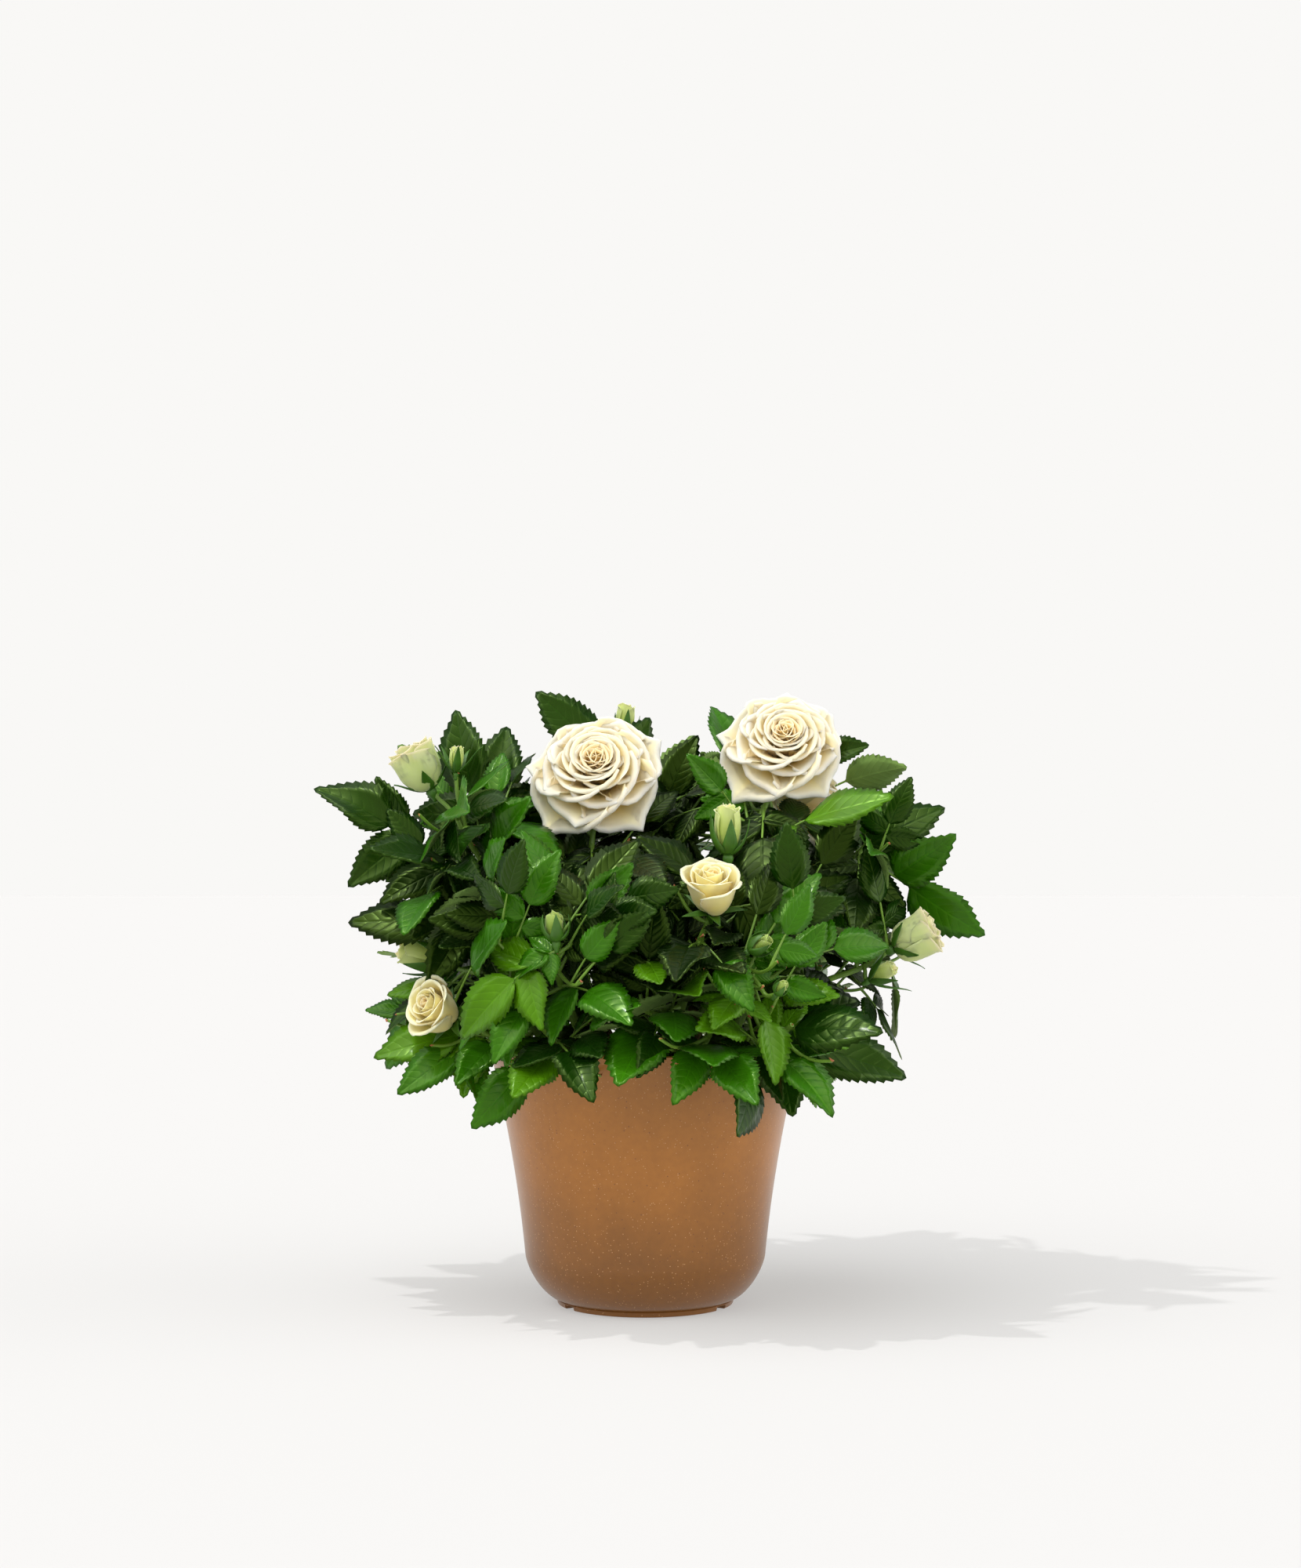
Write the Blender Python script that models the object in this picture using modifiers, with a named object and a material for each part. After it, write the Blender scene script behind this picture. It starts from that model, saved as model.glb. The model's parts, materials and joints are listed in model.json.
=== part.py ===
"""A miniature rose bush in its pot: turned pot, growing medium, canes and leafy flowering shoots.

Metres, +Z up. The origin is the middle of the pot's foot, on the surface that it stands on. The
front of the plant looks along -Y, and +X is to the right of someone who faces it.
"""
import math
import random

import bmesh
import bpy
from mathutils import Matrix, Vector
from mathutils.bvhtree import BVHTree

# Pot: a round cover pot with a soft heel and a low notched foot ring
POT_HEIGHT = 0.1222
RIM_RADIUS = 0.075
WALL = 0.003
HEEL_TOP = 0.024
HEEL_TOP_RADIUS = 0.0574
HEEL_POWER = 1.5
WALL_SLOPE = 0.010
WALL_FLARE = RIM_RADIUS - HEEL_TOP_RADIUS - WALL_SLOPE
FOOT_RADIUS = 0.042
FOOT_WIDTH = 0.008
FOOT_HEIGHT = 0.0026
LIP_ROUND = 0.001
NOTCH_WIDTH = 0.008
NOTCH_DEPTH = 0.0020
NOTCH_ANGLES = (-148.0, -32.0, 90.0)
FOOT_RECESS = 0.0004
HEEL_SHARES = (0.03, 0.18, 0.40, 0.68)
WALL_SHARES = (0.0, 0.28, 0.54, 0.78, 1.0)
TURN_STEPS = 32

# Growing medium: a turned plug that fills the pot to below the rim
SOIL_TOP = 0.108
SOIL_SHARES = (0.0, 0.34, 0.68, 0.98)

# Gaps: between the pieces that meet, beside a limb that carries another, and the space that a
# free twig or leaf keeps from the other masses, from the limbs and from the pot's rim
FREE_GAP = 0.0003
SIDE_GAP = 0.00045
CLEARANCE = 0.0006
RIM_CLEARANCE = 0.003
SEARCH = 0.006
BEAD_STEP = 0.0015

# The crown's own space, from the middle of the pot
REACH_LEFT = 0.1565
REACH_RIGHT = 0.1595
REACH_DEPTH = 0.1190
BACK_REACH = 0.1165
CROWN_TOP = 0.2945
LOWEST_TIP = 0.0930
BODY_HALF_WIDTH = 0.132
BODY_HALF_DEPTH = 0.114
BODY_BOTTOM = 0.112
BODY_TOP = 0.268

# Leaves: a stalk with an end leaflet and a pair of side leaflets
LEAFLET_MAX = 0.046
LEAFLET_MIN = 0.026
LEAFLET_SHARE = 0.56
LEAFLET_ASPECT = 0.60
LEAFLET_THICKNESS = 0.030
END_LEAFLET = ((0.28, 0.50), (0.66, 0.42))
SIDE_LEAFLET = ((0.42, 0.46),)
BLADE_FOLD = 0.10
BLADE_DROOP = 0.06
SIDE_LEAFLET_SHARE = 0.80
SIDE_LEAFLET_ANGLE = math.radians(70.0)
SIDE_LEAFLET_PLACES = ((-1.0, 0.72), (1.0, 0.54))
SIDE_LEAFLET_SAG = 0.12
LEAF_SPACING = 0.0135
LEAVES_MIN = 4
LEAF_LENGTH = 0.068
AIMED_LENGTH = 0.074
LEAF_BOW = 0.10
LEAFLET_SINK = 0.0006
END_LEAFLET_SINK = 0.001
LEAF_STALK_RADII = (0.0011, 0.00088)

# Which way a leaf faces: up, outwards, and towards the light at the front of the plant
FACE_UP = 0.60
FACE_OUT = 0.30
FRONT_LIGHT = 0.75
FRONT_HALF = 0.020
FLOWER_VIEW = 0.52

# The leaves of one shoot: where they stand on its stem, and how far each is tried and turned
SEED = 11
GOLDEN_ANGLE = math.radians(137.5)
FIRST_LEAF = 0.22
LAST_LEAF = 0.96
LEAF_TRIES = 7
TRY_TURN = 0.9
LEAF_LEAN = (0.9, 1.3)
LEAF_REACH = (0.72, 1.05)
LEAF_DROP = 0.014
LEAF_TWIST = 0.4
AIMED_TWISTS = (0.0, 0.3, -0.3, 0.6, -0.6, 0.9, -0.9, 1.3, -1.3)
AIMED_ROOTS = tuple(0.14 + 0.065 * step for step in range(12))

# Joining: how much of a union's mesh is kept, and the distance at which corners count as one
SLIVER_RATIO = 0.70
TOUCH = 0.0000002
SHARP_ANGLE = math.radians(35.0)

# Flower heads: petals round, the height of the base, then rings from the base up as (height,
# radius, how far the petal tips stand out), and the height of the top, in shares of the width
HEAD_SINK = 0.14
HEADS = {
    "rose": (7, -0.20, ((-0.10, 0.24, 0.0), (-0.02, 0.46, 0.09), (0.14, 0.34, 0.0), (0.22, 0.18, 0.0)), 0.20),
    "young_rose": (5, -0.46, ((-0.30, 0.26, 0.0), (0.05, 0.46, 0.04), (0.34, 0.42, 0.12)), 0.38),
    "spent_rose": (5, -0.52, ((-0.34, 0.26, 0.0), (0.05, 0.38, 0.0), (0.50, 0.46, 0.14)), 0.34),
    "bud": (3, -0.78, ((-0.50, 0.42, 0.0), (0.0, 0.48, 0.0)), 0.86),
    "green_bud": (3, -0.55, ((-0.34, 0.40, 0.0), (0.08, 0.48, 0.0)), 0.68),
}

# How a limb's line runs: a short straight root, then a pull of this share at each end
LEAD_IN = 0.0015
FLOW_PULL = 0.38
LIMB_RISE = 0.9
SHOOT_RISE = 0.4
LIMB_SIDES = 6
SHOOT_SIDES = 4

# Woody base stems: name, foot on the growing medium, tip
STEM_BASE_RADIUS = 0.0052
STEM_TIP_RADIUS = 0.0036
STEM_FLARE = 1.5
BASE_STEMS = (
    ("front_left", (-0.015, -0.014), (-0.024, -0.022, 0.136)),
    ("front_right", (0.016, -0.013), (0.026, -0.021, 0.136)),
    ("back_left", (-0.016, 0.015), (-0.025, 0.022, 0.138)),
    ("back_right", (0.015, 0.016), (0.025, 0.024, 0.138)),
)

# Boughs: name, base stem, place along it (1 is its tip), own tip
BOUGH_BASE_RADIUS = 0.0027
BOUGH_TIP_RADIUS = 0.0021
BOUGHS = (
    ("left_high", "front_left", 1.0, (-0.027, -0.020, 0.196)),
    ("left_low", "front_left", 0.50, (-0.064, -0.026, 0.148)),
    ("left_front", "front_left", 0.72, (-0.036, -0.054, 0.146)),
    ("right_high", "front_right", 1.0, (0.046, -0.018, 0.204)),
    ("centre_front", "front_right", 0.72, (0.020, -0.046, 0.158)),
    ("right_front", "front_right", 0.50, (0.046, -0.050, 0.142)),
    ("right_low", "back_right", 0.50, (0.068, -0.010, 0.142)),
    ("far_left", "back_left", 0.72, (-0.068, 0.004, 0.190)),
    ("far_right", "back_right", 0.74, (0.074, 0.006, 0.188)),
    ("back_left", "back_left", 1.0, (-0.034, 0.044, 0.192)),
    ("back_right", "back_right", 1.0, (0.036, 0.046, 0.194)),
    ("back_middle", "back_left", 0.46, (0.004, 0.050, 0.150)),
    ("middle_high", "back_right", 0.46, (0.002, 0.014, 0.206)),
)

# Shoots: each is one mass of foliage. name, bough, place along it, tip of its stem,
# flowers (kind, middle, facing, width), leaf tips that give the crown its outline
SHOOT_RADII = (0.0017, 0.0012)
FLOWER_STALK_RADII = (0.00105, 0.00100)
FLOWER_STALK_PLACES = (0.97, 0.72)
FLOWER_STALK_LIFT = 0.006
SHOOTS = (
    ("left_rose", "left_high", 1.0, (-0.022, -0.012, 0.244),
     (("rose", (-0.023, -0.026, 0.252), (-0.06, -0.84, 0.53), 0.066),),
     ((-0.024, -0.060, 0.191), (-0.002, -0.052, 0.200), (-0.060, -0.030, 0.222))),
    ("right_rose", "right_high", 1.0, (0.067, 0.004, 0.257),
     (("rose", (0.067, -0.010, 0.2655), (0.0, -0.84, 0.54), 0.061),),
     ((0.109, -0.045, 0.241), (0.052, -0.062, 0.194), (0.036, 0.018, 0.2905))),
    ("upper_left", "far_left", 1.0, (-0.091, -0.004, 0.232),
     (("spent_rose", (-0.109, -0.005, 0.257), (-0.40, -0.12, 0.90), 0.028),
      ("bud", (-0.0905, -0.008, 0.2585), (0.05, 0.0, 1.0), 0.0095)),
     ((-0.093, 0.012, 0.280), (-0.070, 0.020, 0.274), (-0.042, -0.046, 0.220))),
    ("far_left", "far_left", 0.72, (-0.100, 0.004, 0.212), (),
     ((-0.1555, -0.010, 0.249), (-0.139, -0.022, 0.213), (-0.118, 0.018, 0.206))),
    ("left_middle", "far_left", 0.40, (-0.078, -0.022, 0.196), (),
     ((-0.135, -0.024, 0.184), (-0.056, -0.056, 0.186))),
    ("left_bud", "left_low", 1.0, (-0.092, -0.016, 0.1615),
     (("bud", (-0.105, -0.016, 0.1645), (-0.96, -0.08, 0.26), 0.018),),
     ((-0.090, 0.010, 0.160), (-0.128, 0.010, 0.170))),
    ("lower_left_rose", "left_low", 0.62, (-0.086, -0.032, 0.140),
     (("young_rose", (-0.098, -0.042, 0.1425), (-0.62, -0.70, 0.18), 0.029),),
     ((-0.121, -0.040, 0.124), (-0.110, -0.052, 0.108), (-0.082, -0.066, 0.117))),
    ("round_bud", "left_front", 1.0, (-0.039, -0.080, 0.172),
     (("green_bud", (-0.040, -0.082, 0.180), (-0.06, -0.12, 1.0), 0.0145),),
     ((-0.082, -0.080, 0.135), (-0.058, -0.082, 0.160), (-0.004, -0.092, 0.176))),
    ("front_left", "left_front", 0.60, (-0.052, -0.074, 0.142), (),
     ((-0.056, -0.096, 0.109), (-0.074, -0.080, 0.0935), (-0.022, -0.098, 0.128))),
    ("front_centre", "centre_front", 0.58, (-0.004, -0.074, 0.146), (),
     ((0.020, -0.108, 0.157), (0.014, -0.106, 0.136), (-0.010, -0.110, 0.118))),
    ("centre_rose", "centre_front", 1.0, (0.030, -0.060, 0.187),
     (("young_rose", (0.030, -0.070, 0.1985), (0.0, -0.72, 0.69), 0.030),
      ("bud", (0.038, -0.054, 0.2235), (0.0, -0.06, 1.0), 0.017)),
     ((-0.008, -0.074, 0.190), (0.040, -0.098, 0.166))),
    ("right_bud", "right_front", 1.0, (0.044, -0.076, 0.167),
     (("green_bud", (0.051, -0.078, 0.172), (0.80, -0.20, 0.50), 0.0125),
      ("green_bud", (0.060, -0.088, 0.153), (0.50, -0.40, 0.70), 0.0085)),
     ((0.075, -0.060, 0.176), (0.084, -0.076, 0.150))),
    ("front_rim", "right_front", 0.36, (0.030, -0.082, 0.136), (),
     ((0.016, -0.106, 0.111), (0.047, -0.118, 0.108), (0.030, -0.112, 0.128))),
    ("front_right", "right_front", 0.70, (0.066, -0.072, 0.136), (),
     ((0.097, -0.095, 0.138), (0.044, -0.108, 0.0945), (0.080, -0.098, 0.107), (0.114, -0.062, 0.117))),
    ("right_spray", "right_low", 1.0, (0.1165, -0.020, 0.169),
     (("spent_rose", (0.129, -0.021, 0.1745), (0.88, -0.10, 0.44), 0.027),
      ("bud", (0.111, -0.026, 0.157), (0.80, -0.20, 0.45), 0.0105)),
     ((0.100, -0.030, 0.132), (0.118, 0.030, 0.150))),
    ("far_right", "far_right", 1.0, (0.108, 0.000, 0.220), (),
     ((0.138, -0.005, 0.236), (0.158, -0.015, 0.172), (0.098, -0.038, 0.179))),
    ("right_middle", "far_right", 0.50, (0.092, 0.016, 0.190), (),
     ((0.126, 0.020, 0.196), (0.078, -0.040, 0.182))),
    ("inner_left", "left_high", 0.42, (-0.012, -0.044, 0.190), (), ()),
    ("inner_middle", "centre_front", 0.26, (0.002, -0.034, 0.172), (), ()),
    ("inner_right", "right_high", 0.42, (0.044, -0.042, 0.186), (), ()),
    ("top_middle", "middle_high", 1.0, (0.000, 0.022, 0.252),
     (("bud", (-0.010, 0.028, 0.279), (0.10, 0.0, 1.0), 0.013),),
     ((-0.051, 0.006, 0.2935), (0.022, 0.006, 0.268), (0.006, -0.012, 0.232), (0.020, 0.050, 0.268))),
)

# Shoots on the far side follow a rule: two tiers of them fan out from the three back boughs
BACK_TIERS = (
    {"name": "back_upper", "first": 24.0, "last": 156.0, "half_width": 0.076, "half_depth": 0.062,
     "height": 0.236, "reach": 0.132, "place": 0.90, "flowers": ("rose", None, "young_rose", "bud")},
    {"name": "back_lower", "first": 20.0, "last": 160.0, "half_width": 0.092, "half_depth": 0.078,
     "height": 0.160, "reach": 0.138, "place": 0.30, "flowers": (None, "young_rose", None, "green_bud", None)},
)
BACK_BOUGHS = ("far_right", "back_right", "back_middle", "back_left", "far_left")
BACK_WAVE = 0.010
BACK_DROP = 0.018
BACK_FLOWER_WIDTH = {"rose": 0.060, "young_rose": 0.029, "spent_rose": 0.027, "bud": 0.016, "green_bud": 0.0135}

COLOURS = {
    "pot": ((0.328, 0.136, 0.040), 0.42),
    "soil": ((0.022, 0.012, 0.007), 0.95),
    "wood": ((0.110, 0.075, 0.030), 0.70),
    "foliage": ((0.030, 0.095, 0.022), 0.48),
}


def along(points, share):
    """The point and the direction at a share of the way along a line of points."""
    lengths = [(b - a).length for a, b in zip(points, points[1:])]
    left = share * sum(lengths)
    for index, length in enumerate(lengths):
        if left <= length or index == len(lengths) - 1:
            direction = (points[index + 1] - points[index]).normalized()
            return points[index] + direction * min(left, length), direction
        left -= length
    return points[-1].copy(), (points[-1] - points[-2]).normalized()


def flow(start, lead, end, arrive, count):
    """A smooth run of points that leaves one place in one direction and arrives in another."""
    pull = (end - start).length * FLOW_PULL
    b = start + lead.normalized() * pull
    c = end - arrive.normalized() * pull
    points = []
    for index in range(count + 1):
        t = index / count
        s = 1.0 - t
        points.append(start * s ** 3 + b * 3 * s * s * t + c * 3 * s * t * t + end * t ** 3)
    return points


def branch(start, lead, end, arrive, count):
    """A limb's line: a short straight root, square to what carries it, and then a smooth run."""
    return [start] + flow(start + lead * LEAD_IN, lead, end, arrive, count)


def fork(points, radii, share, goal):
    """Where a limb leaves another, just clear of it: the place and the direction."""
    place, direction = along(points, share)
    radius = radii[0] + (radii[1] - radii[0]) * share
    if share >= 1.0:
        return place + direction * FREE_GAP, direction
    aside = goal - place
    aside -= direction * aside.dot(direction)
    aside.normalize()
    return place + aside * (radius + SIDE_GAP), aside


class Limb:
    """A tapering limb: its line of points and its radius at the start and at the end."""

    def __init__(self, name, points, radii):
        self.name = name
        self.points = points
        self.radii = radii

    def radius(self, share):
        return self.radii[0] + (self.radii[1] - self.radii[0]) * share


def blade_points(root, tip, normal, width, thickness, fold, shape):
    """A thin closed blade: the points round its edge, then one ridge point on each face."""
    line = tip - root
    length = line.length
    forward = line / length
    normal = (normal - forward * normal.dot(forward)).normalized()
    side = forward.cross(normal)
    rim = [(0.0, 0.0)] + list(shape) + [(1.0, 0.0)] + [(share, -spread) for share, spread in reversed(shape)]
    points = []
    for share, spread in rim:
        lift = fold * abs(spread) * width - BLADE_DROOP * length * share * share
        points.append(root + forward * (share * length) + side * (spread * width) + normal * lift)
    ridge = root + forward * (0.40 * length) - normal * (0.2 * BLADE_DROOP * length)
    points.append(ridge + normal * thickness / 2)
    points.append(ridge - normal * thickness / 2)
    return points


def blade_faces(sides):
    """The faces of a blade: a fan round each ridge point."""
    over = [(a, (a + 1) % sides, sides) for a in range(sides)]
    under = [((a + 1) % sides, a, sides + 1) for a in range(sides)]
    return over + under


class Blade:
    """A leaflet, as one thin closed blade."""

    def __init__(self, root, tip, normal, width, shape):
        self.root = root
        self.tip = tip
        self.normal = normal
        self.width = width
        self.shape = shape
        self.thickness = LEAFLET_THICKNESS * (tip - root).length

    def points(self, grow=0.0):
        stretch = (self.tip - self.root).normalized() * grow
        return blade_points(self.root - stretch, self.tip + stretch, self.normal, self.width + 2 * grow,
                            self.thickness + 2 * grow, BLADE_FOLD, self.shape)

    def faces(self):
        return blade_faces(2 * len(self.shape) + 2)

    def sight_points(self):
        """Places on the rim and halfway in to the middle line."""
        rim = self.points()[:-2]
        middle = [self.root.lerp(self.tip, share) for share in (0.2, 0.4, 0.6, 0.8)]
        return rim + middle + [(point + self.root.lerp(self.tip, 0.45)) / 2 for point in rim]


class Room:
    """What is already in place, so that nothing new runs into another mass or a limb."""

    CELL = 0.012

    def __init__(self):
        self.beads = {}
        self.bodies = []
        self.front_flowers = []

    def cell(self, place):
        return tuple(math.floor(value / self.CELL) for value in place)

    def near(self, low, high):
        first = self.cell(low)
        last = self.cell(high)
        for i in range(first[0], last[0] + 1):
            for j in range(first[1], last[1] + 1):
                for k in range(first[2], last[2] + 1):
                    yield from self.beads.get((i, j, k), ())

    def add_line(self, owner, points, radii):
        for place, radius in beads_along(points, radii):
            self.beads.setdefault(self.cell(place), []).append((place, radius, owner))

    def add_body(self, owner, key, body):
        points = body.points()
        tree = BVHTree.FromPolygons(points, body.faces())
        self.bodies.append((box_of(points), tree, owner, key))

    def line_is_free(self, owner, points, radii):
        for place, radius in beads_along(points, radii):
            reach = Vector((1.0, 1.0, 1.0)) * (radius + SEARCH)
            for other, size, name in self.near(place - reach, place + reach):
                if name != owner and (other - place).length < radius + size + CLEARANCE:
                    return False
            for (low, high), tree, name, _key in self.bodies:
                if name == owner or not boxes_meet((place - reach, place + reach), (low, high)):
                    continue
                if tree.find_nearest(place, radius + CLEARANCE)[0] is not None:
                    return False
        return True

    def body_is_free(self, owner, key, body):
        guard = body.points(CLEARANCE)
        box = box_of(guard)
        tree = BVHTree.FromPolygons(guard, body.faces())
        for (low, high), other, name, other_key in self.bodies:
            if name == owner and key == other_key:
                continue
            if boxes_meet(box, (low, high)) and tree.overlap(other):
                return False
        reach = Vector((1.0, 1.0, 1.0)) * SEARCH
        for place, radius, name in self.near(box[0] - reach, box[1] + reach):
            if name != owner and tree.find_nearest(place, radius + CLEARANCE)[0] is not None:
                return False
        return True


def beads_along(points, radii):
    """Closely spaced places along a line, with the radius at each."""
    total = sum((b - a).length for a, b in zip(points, points[1:]))
    count = max(2, math.ceil(total / BEAD_STEP))
    for index in range(count + 1):
        share = index / count
        yield along(points, share)[0], radii[0] + (radii[1] - radii[0]) * share


def box_of(points):
    low = Vector([min(point[axis] for point in points) for axis in range(3)])
    high = Vector([max(point[axis] for point in points) for axis in range(3)])
    return low, high


def boxes_meet(one, two):
    return all(one[0][axis] <= two[1][axis] and two[0][axis] <= one[1][axis] for axis in range(3))


def inside_crown(point):
    """True within the crown's reach and clear of the pot."""
    if not -REACH_LEFT <= point.x <= REACH_RIGHT or abs(point.y) > REACH_DEPTH:
        return False
    if not LOWEST_TIP <= point.z <= CROWN_TOP:
        return False
    out = math.hypot(point.x, point.y)
    over_wall = RIM_RADIUS - WALL - RIM_CLEARANCE < out < RIM_RADIUS + RIM_CLEARANCE
    if over_wall and point.z < POT_HEIGHT + RIM_CLEARANCE:
        return False
    return out > RIM_RADIUS or point.z > SOIL_TOP + CLEARANCE


def inside_body(point):
    """True within the rounder body of the crown, which only some leaf tips stand out of."""
    if (point.x / BODY_HALF_WIDTH) ** 2 + (point.y / BODY_HALF_DEPTH) ** 2 > 1.0:
        return False
    return BODY_BOTTOM <= point.z <= BODY_TOP


class Leaf:
    """A leaf: its stalk, its end leaflet and its pair of side leaflets."""

    def __init__(self, root, tip, twist):
        line = tip - root
        length = line.length
        self.bend = (root + tip) / 2 + Vector((0.0, 0.0, LEAF_BOW * length))
        self.root = root
        self.tip = tip
        end_length = min(max(LEAFLET_SHARE * length, LEAFLET_MIN), LEAFLET_MAX, 0.8 * length)
        self.end_share = 1.0 - end_length / length
        joint, forward = self.at(self.end_share)
        outward = Vector((joint.x, joint.y, 0.0)).normalized()
        light = Vector((0.0, -FRONT_LIGHT, 0.0)) if joint.y < FRONT_HALF else outward * FACE_OUT
        normal = Vector((0.0, 0.0, FACE_UP)) + outward * FACE_OUT + light
        normal = (normal - forward * normal.dot(forward)).normalized()
        side = forward.cross(normal)
        self.normal = (normal * math.cos(twist) + side * math.sin(twist)).normalized()
        side = forward.cross(self.normal)
        end = tip - joint
        self.joint = joint
        self.blades = [Blade(joint - end.normalized() * END_LEAFLET_SINK, tip, self.normal,
                             LEAFLET_ASPECT * end.length, END_LEAFLET)]
        size = end.length * SIDE_LEAFLET_SHARE
        for hand, place in SIDE_LEAFLET_PLACES:
            root, forward = self.at(self.end_share * place)
            aim = forward * math.cos(SIDE_LEAFLET_ANGLE) + side * (hand * math.sin(SIDE_LEAFLET_ANGLE))
            aim = (aim - Vector((0.0, 0.0, SIDE_LEAFLET_SAG))).normalized()
            self.blades.append(Blade(root - aim * LEAFLET_SINK, root + aim * size, self.normal,
                                     LEAFLET_ASPECT * size, SIDE_LEAFLET))

    def at(self, share):
        a = self.root.lerp(self.bend, share)
        b = self.bend.lerp(self.tip, share)
        return a.lerp(b, share), (b - a).normalized()


class Flower:
    """A rose or a bud: one closed head on its stalk."""

    def __init__(self, kind, middle, facing, width):
        self.kind = kind
        self.middle = Vector(middle)
        self.facing = Vector(facing).normalized()
        self.width = width
        self.petals, bottom, self.rings, self.top = HEADS[kind]
        self.base = self.middle + self.facing * (bottom * width)
        self.seat = self.base + self.facing * (HEAD_SINK * width)
        self.across = self.facing.orthogonal().normalized()

    def points(self, grow=0.0):
        """Ring by ring from the base up, then the base point and the top point."""
        count = 2 * self.petals
        points = []
        for height, radius, stand_out in self.rings:
            for index in range(count):
                reach = (radius + stand_out * (-1.0) ** index) * self.width + grow
                out = Matrix.Rotation(2 * math.pi * index / count, 3, self.facing) @ self.across
                points.append(self.middle + self.facing * (height * self.width) + out * reach)
        points.append(self.base - self.facing * grow)
        points.append(self.middle + self.facing * (self.top * self.width + grow))
        return points

    def faces(self):
        count = 2 * self.petals
        last = count * (len(self.rings) - 1)
        bottom = count * len(self.rings)
        faces = []
        for index in range(count):
            after = (index + 1) % count
            faces.append((after, index, bottom))
            faces.append((last + index, last + after, bottom + 1))
            for ring in range(len(self.rings) - 1):
                low = ring * count
                faces.append((low + index, low + after, low + count + after, low + count + index))
        return faces


class Shoot:
    """One mass of foliage: a stem with its flowers, their stalks and its leaves."""

    def __init__(self, name, stem, flowers, aims):
        self.name = name
        self.stem = stem
        self.flowers = flowers
        self.aims = aims
        self.stalks = []
        self.leaves = []


def grow_limbs():
    """The base stems and the boughs, each 0.3 mm clear of what carries it."""
    limbs = {}
    for name, foot, tip in BASE_STEMS:
        start = Vector((foot[0], foot[1], SOIL_TOP + FREE_GAP))
        end = Vector(tip)
        points = branch(start, Vector((0.0, 0.0, 1.0)), end, end - start, 3)
        limbs["stem_" + name] = Limb("stem_" + name, points, (STEM_BASE_RADIUS, STEM_TIP_RADIUS))
    for name, parent, share, tip in BOUGHS:
        carrier = limbs["stem_" + parent]
        end = Vector(tip)
        start, lead = fork(carrier.points, carrier.radii, share, end)
        rise = Vector((0.0, 0.0, LIMB_RISE)) + (end - start).normalized()
        points = branch(start, lead, end, rise, 4)
        limbs["bough_" + name] = Limb("bough_" + name, points, (BOUGH_BASE_RADIUS, BOUGH_TIP_RADIUS))
    return limbs


def back_shoots():
    """The far side's shoots, fanned out evenly in tiers behind the middle."""
    rows = []
    for tier in BACK_TIERS:
        last = len(tier["flowers"]) - 1
        for index, kind in enumerate(tier["flowers"]):
            turn = math.radians(tier["first"] + (tier["last"] - tier["first"]) * index / last)
            out = Vector((math.cos(turn), math.sin(turn), 0.0))
            height = tier["height"] + BACK_WAVE * math.cos(5 * turn)
            tip = Vector((out.x * tier["half_width"], out.y * tier["half_depth"], height))
            bough = BACK_BOUGHS[round(index * (len(BACK_BOUGHS) - 1) / last)]
            flowers = ()
            if kind:
                width = BACK_FLOWER_WIDTH[kind]
                facing = (out + Vector((0.0, 0.0, 1.0))).normalized()
                flowers = ((kind, tip + facing * width * 0.30, facing, width),)
            drop = BACK_DROP * math.sin(3.0 * index + 1.0)
            far = Vector((out.x * tier["reach"], min(out.y * tier["reach"], BACK_REACH), tier["height"] + drop))
            rows.append(("%s_%d" % (tier["name"], index + 1), bough, tier["place"], tip, flowers, (far,)))
    return rows


def start_shoots(limbs, room):
    """Each shoot's stem, from its bough to its tip, with its flowers and their stalks."""
    shoots = []
    for name, bough, share, tip, flowers, aims in list(SHOOTS) + back_shoots():
        carrier = limbs["bough_" + bough]
        blooms = [Flower(*flower) for flower in flowers]
        end = Vector(tip)
        start, lead = fork(carrier.points, carrier.radii, share, end)
        arrive = (end - start).normalized() + Vector((0.0, 0.0, SHOOT_RISE))
        if len(blooms) == 1:
            end = blooms[0].seat
            arrive = arrive + blooms[0].facing
        points = branch(start, lead, end, arrive, 5)
        stem = Limb("shoot_" + name, points, SHOOT_RADII)
        shoot = Shoot(stem.name, stem, blooms, [Vector(aim) for aim in aims])
        if len(blooms) > 1:
            for bloom, place in zip(blooms, FLOWER_STALK_PLACES):
                root = along(points, place)[0]
                lead_up = bloom.seat - root + Vector((0.0, 0.0, FLOWER_STALK_LIFT))
                stalk = flow(root, lead_up, bloom.seat, bloom.facing, 3)
                shoot.stalks.append(Limb("stalk", stalk, FLOWER_STALK_RADII))
        shoots.append(shoot)
    for limb in limbs.values():
        room.add_line(limb.name, limb.points, limb.radii)
    for shoot in shoots:
        for limb in [shoot.stem] + shoot.stalks:
            room.add_line(shoot.name, limb.points, limb.radii)
        for flower in shoot.flowers:
            room.add_body(shoot.name, "flower", flower)
            if flower.middle.y < 0.0:
                room.front_flowers.append(flower)
    return shoots


def hides_flower(points, flowers):
    """True where something would stand before a flower that faces the front."""
    for flower in flowers:
        reach = FLOWER_VIEW * flower.width
        for point in points:
            before = point.y < flower.middle.y + FLOWER_VIEW * 0.25 * flower.width
            if before and math.hypot(point.x - flower.middle.x, point.z - flower.middle.z) < reach:
                return True
    return False


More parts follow.
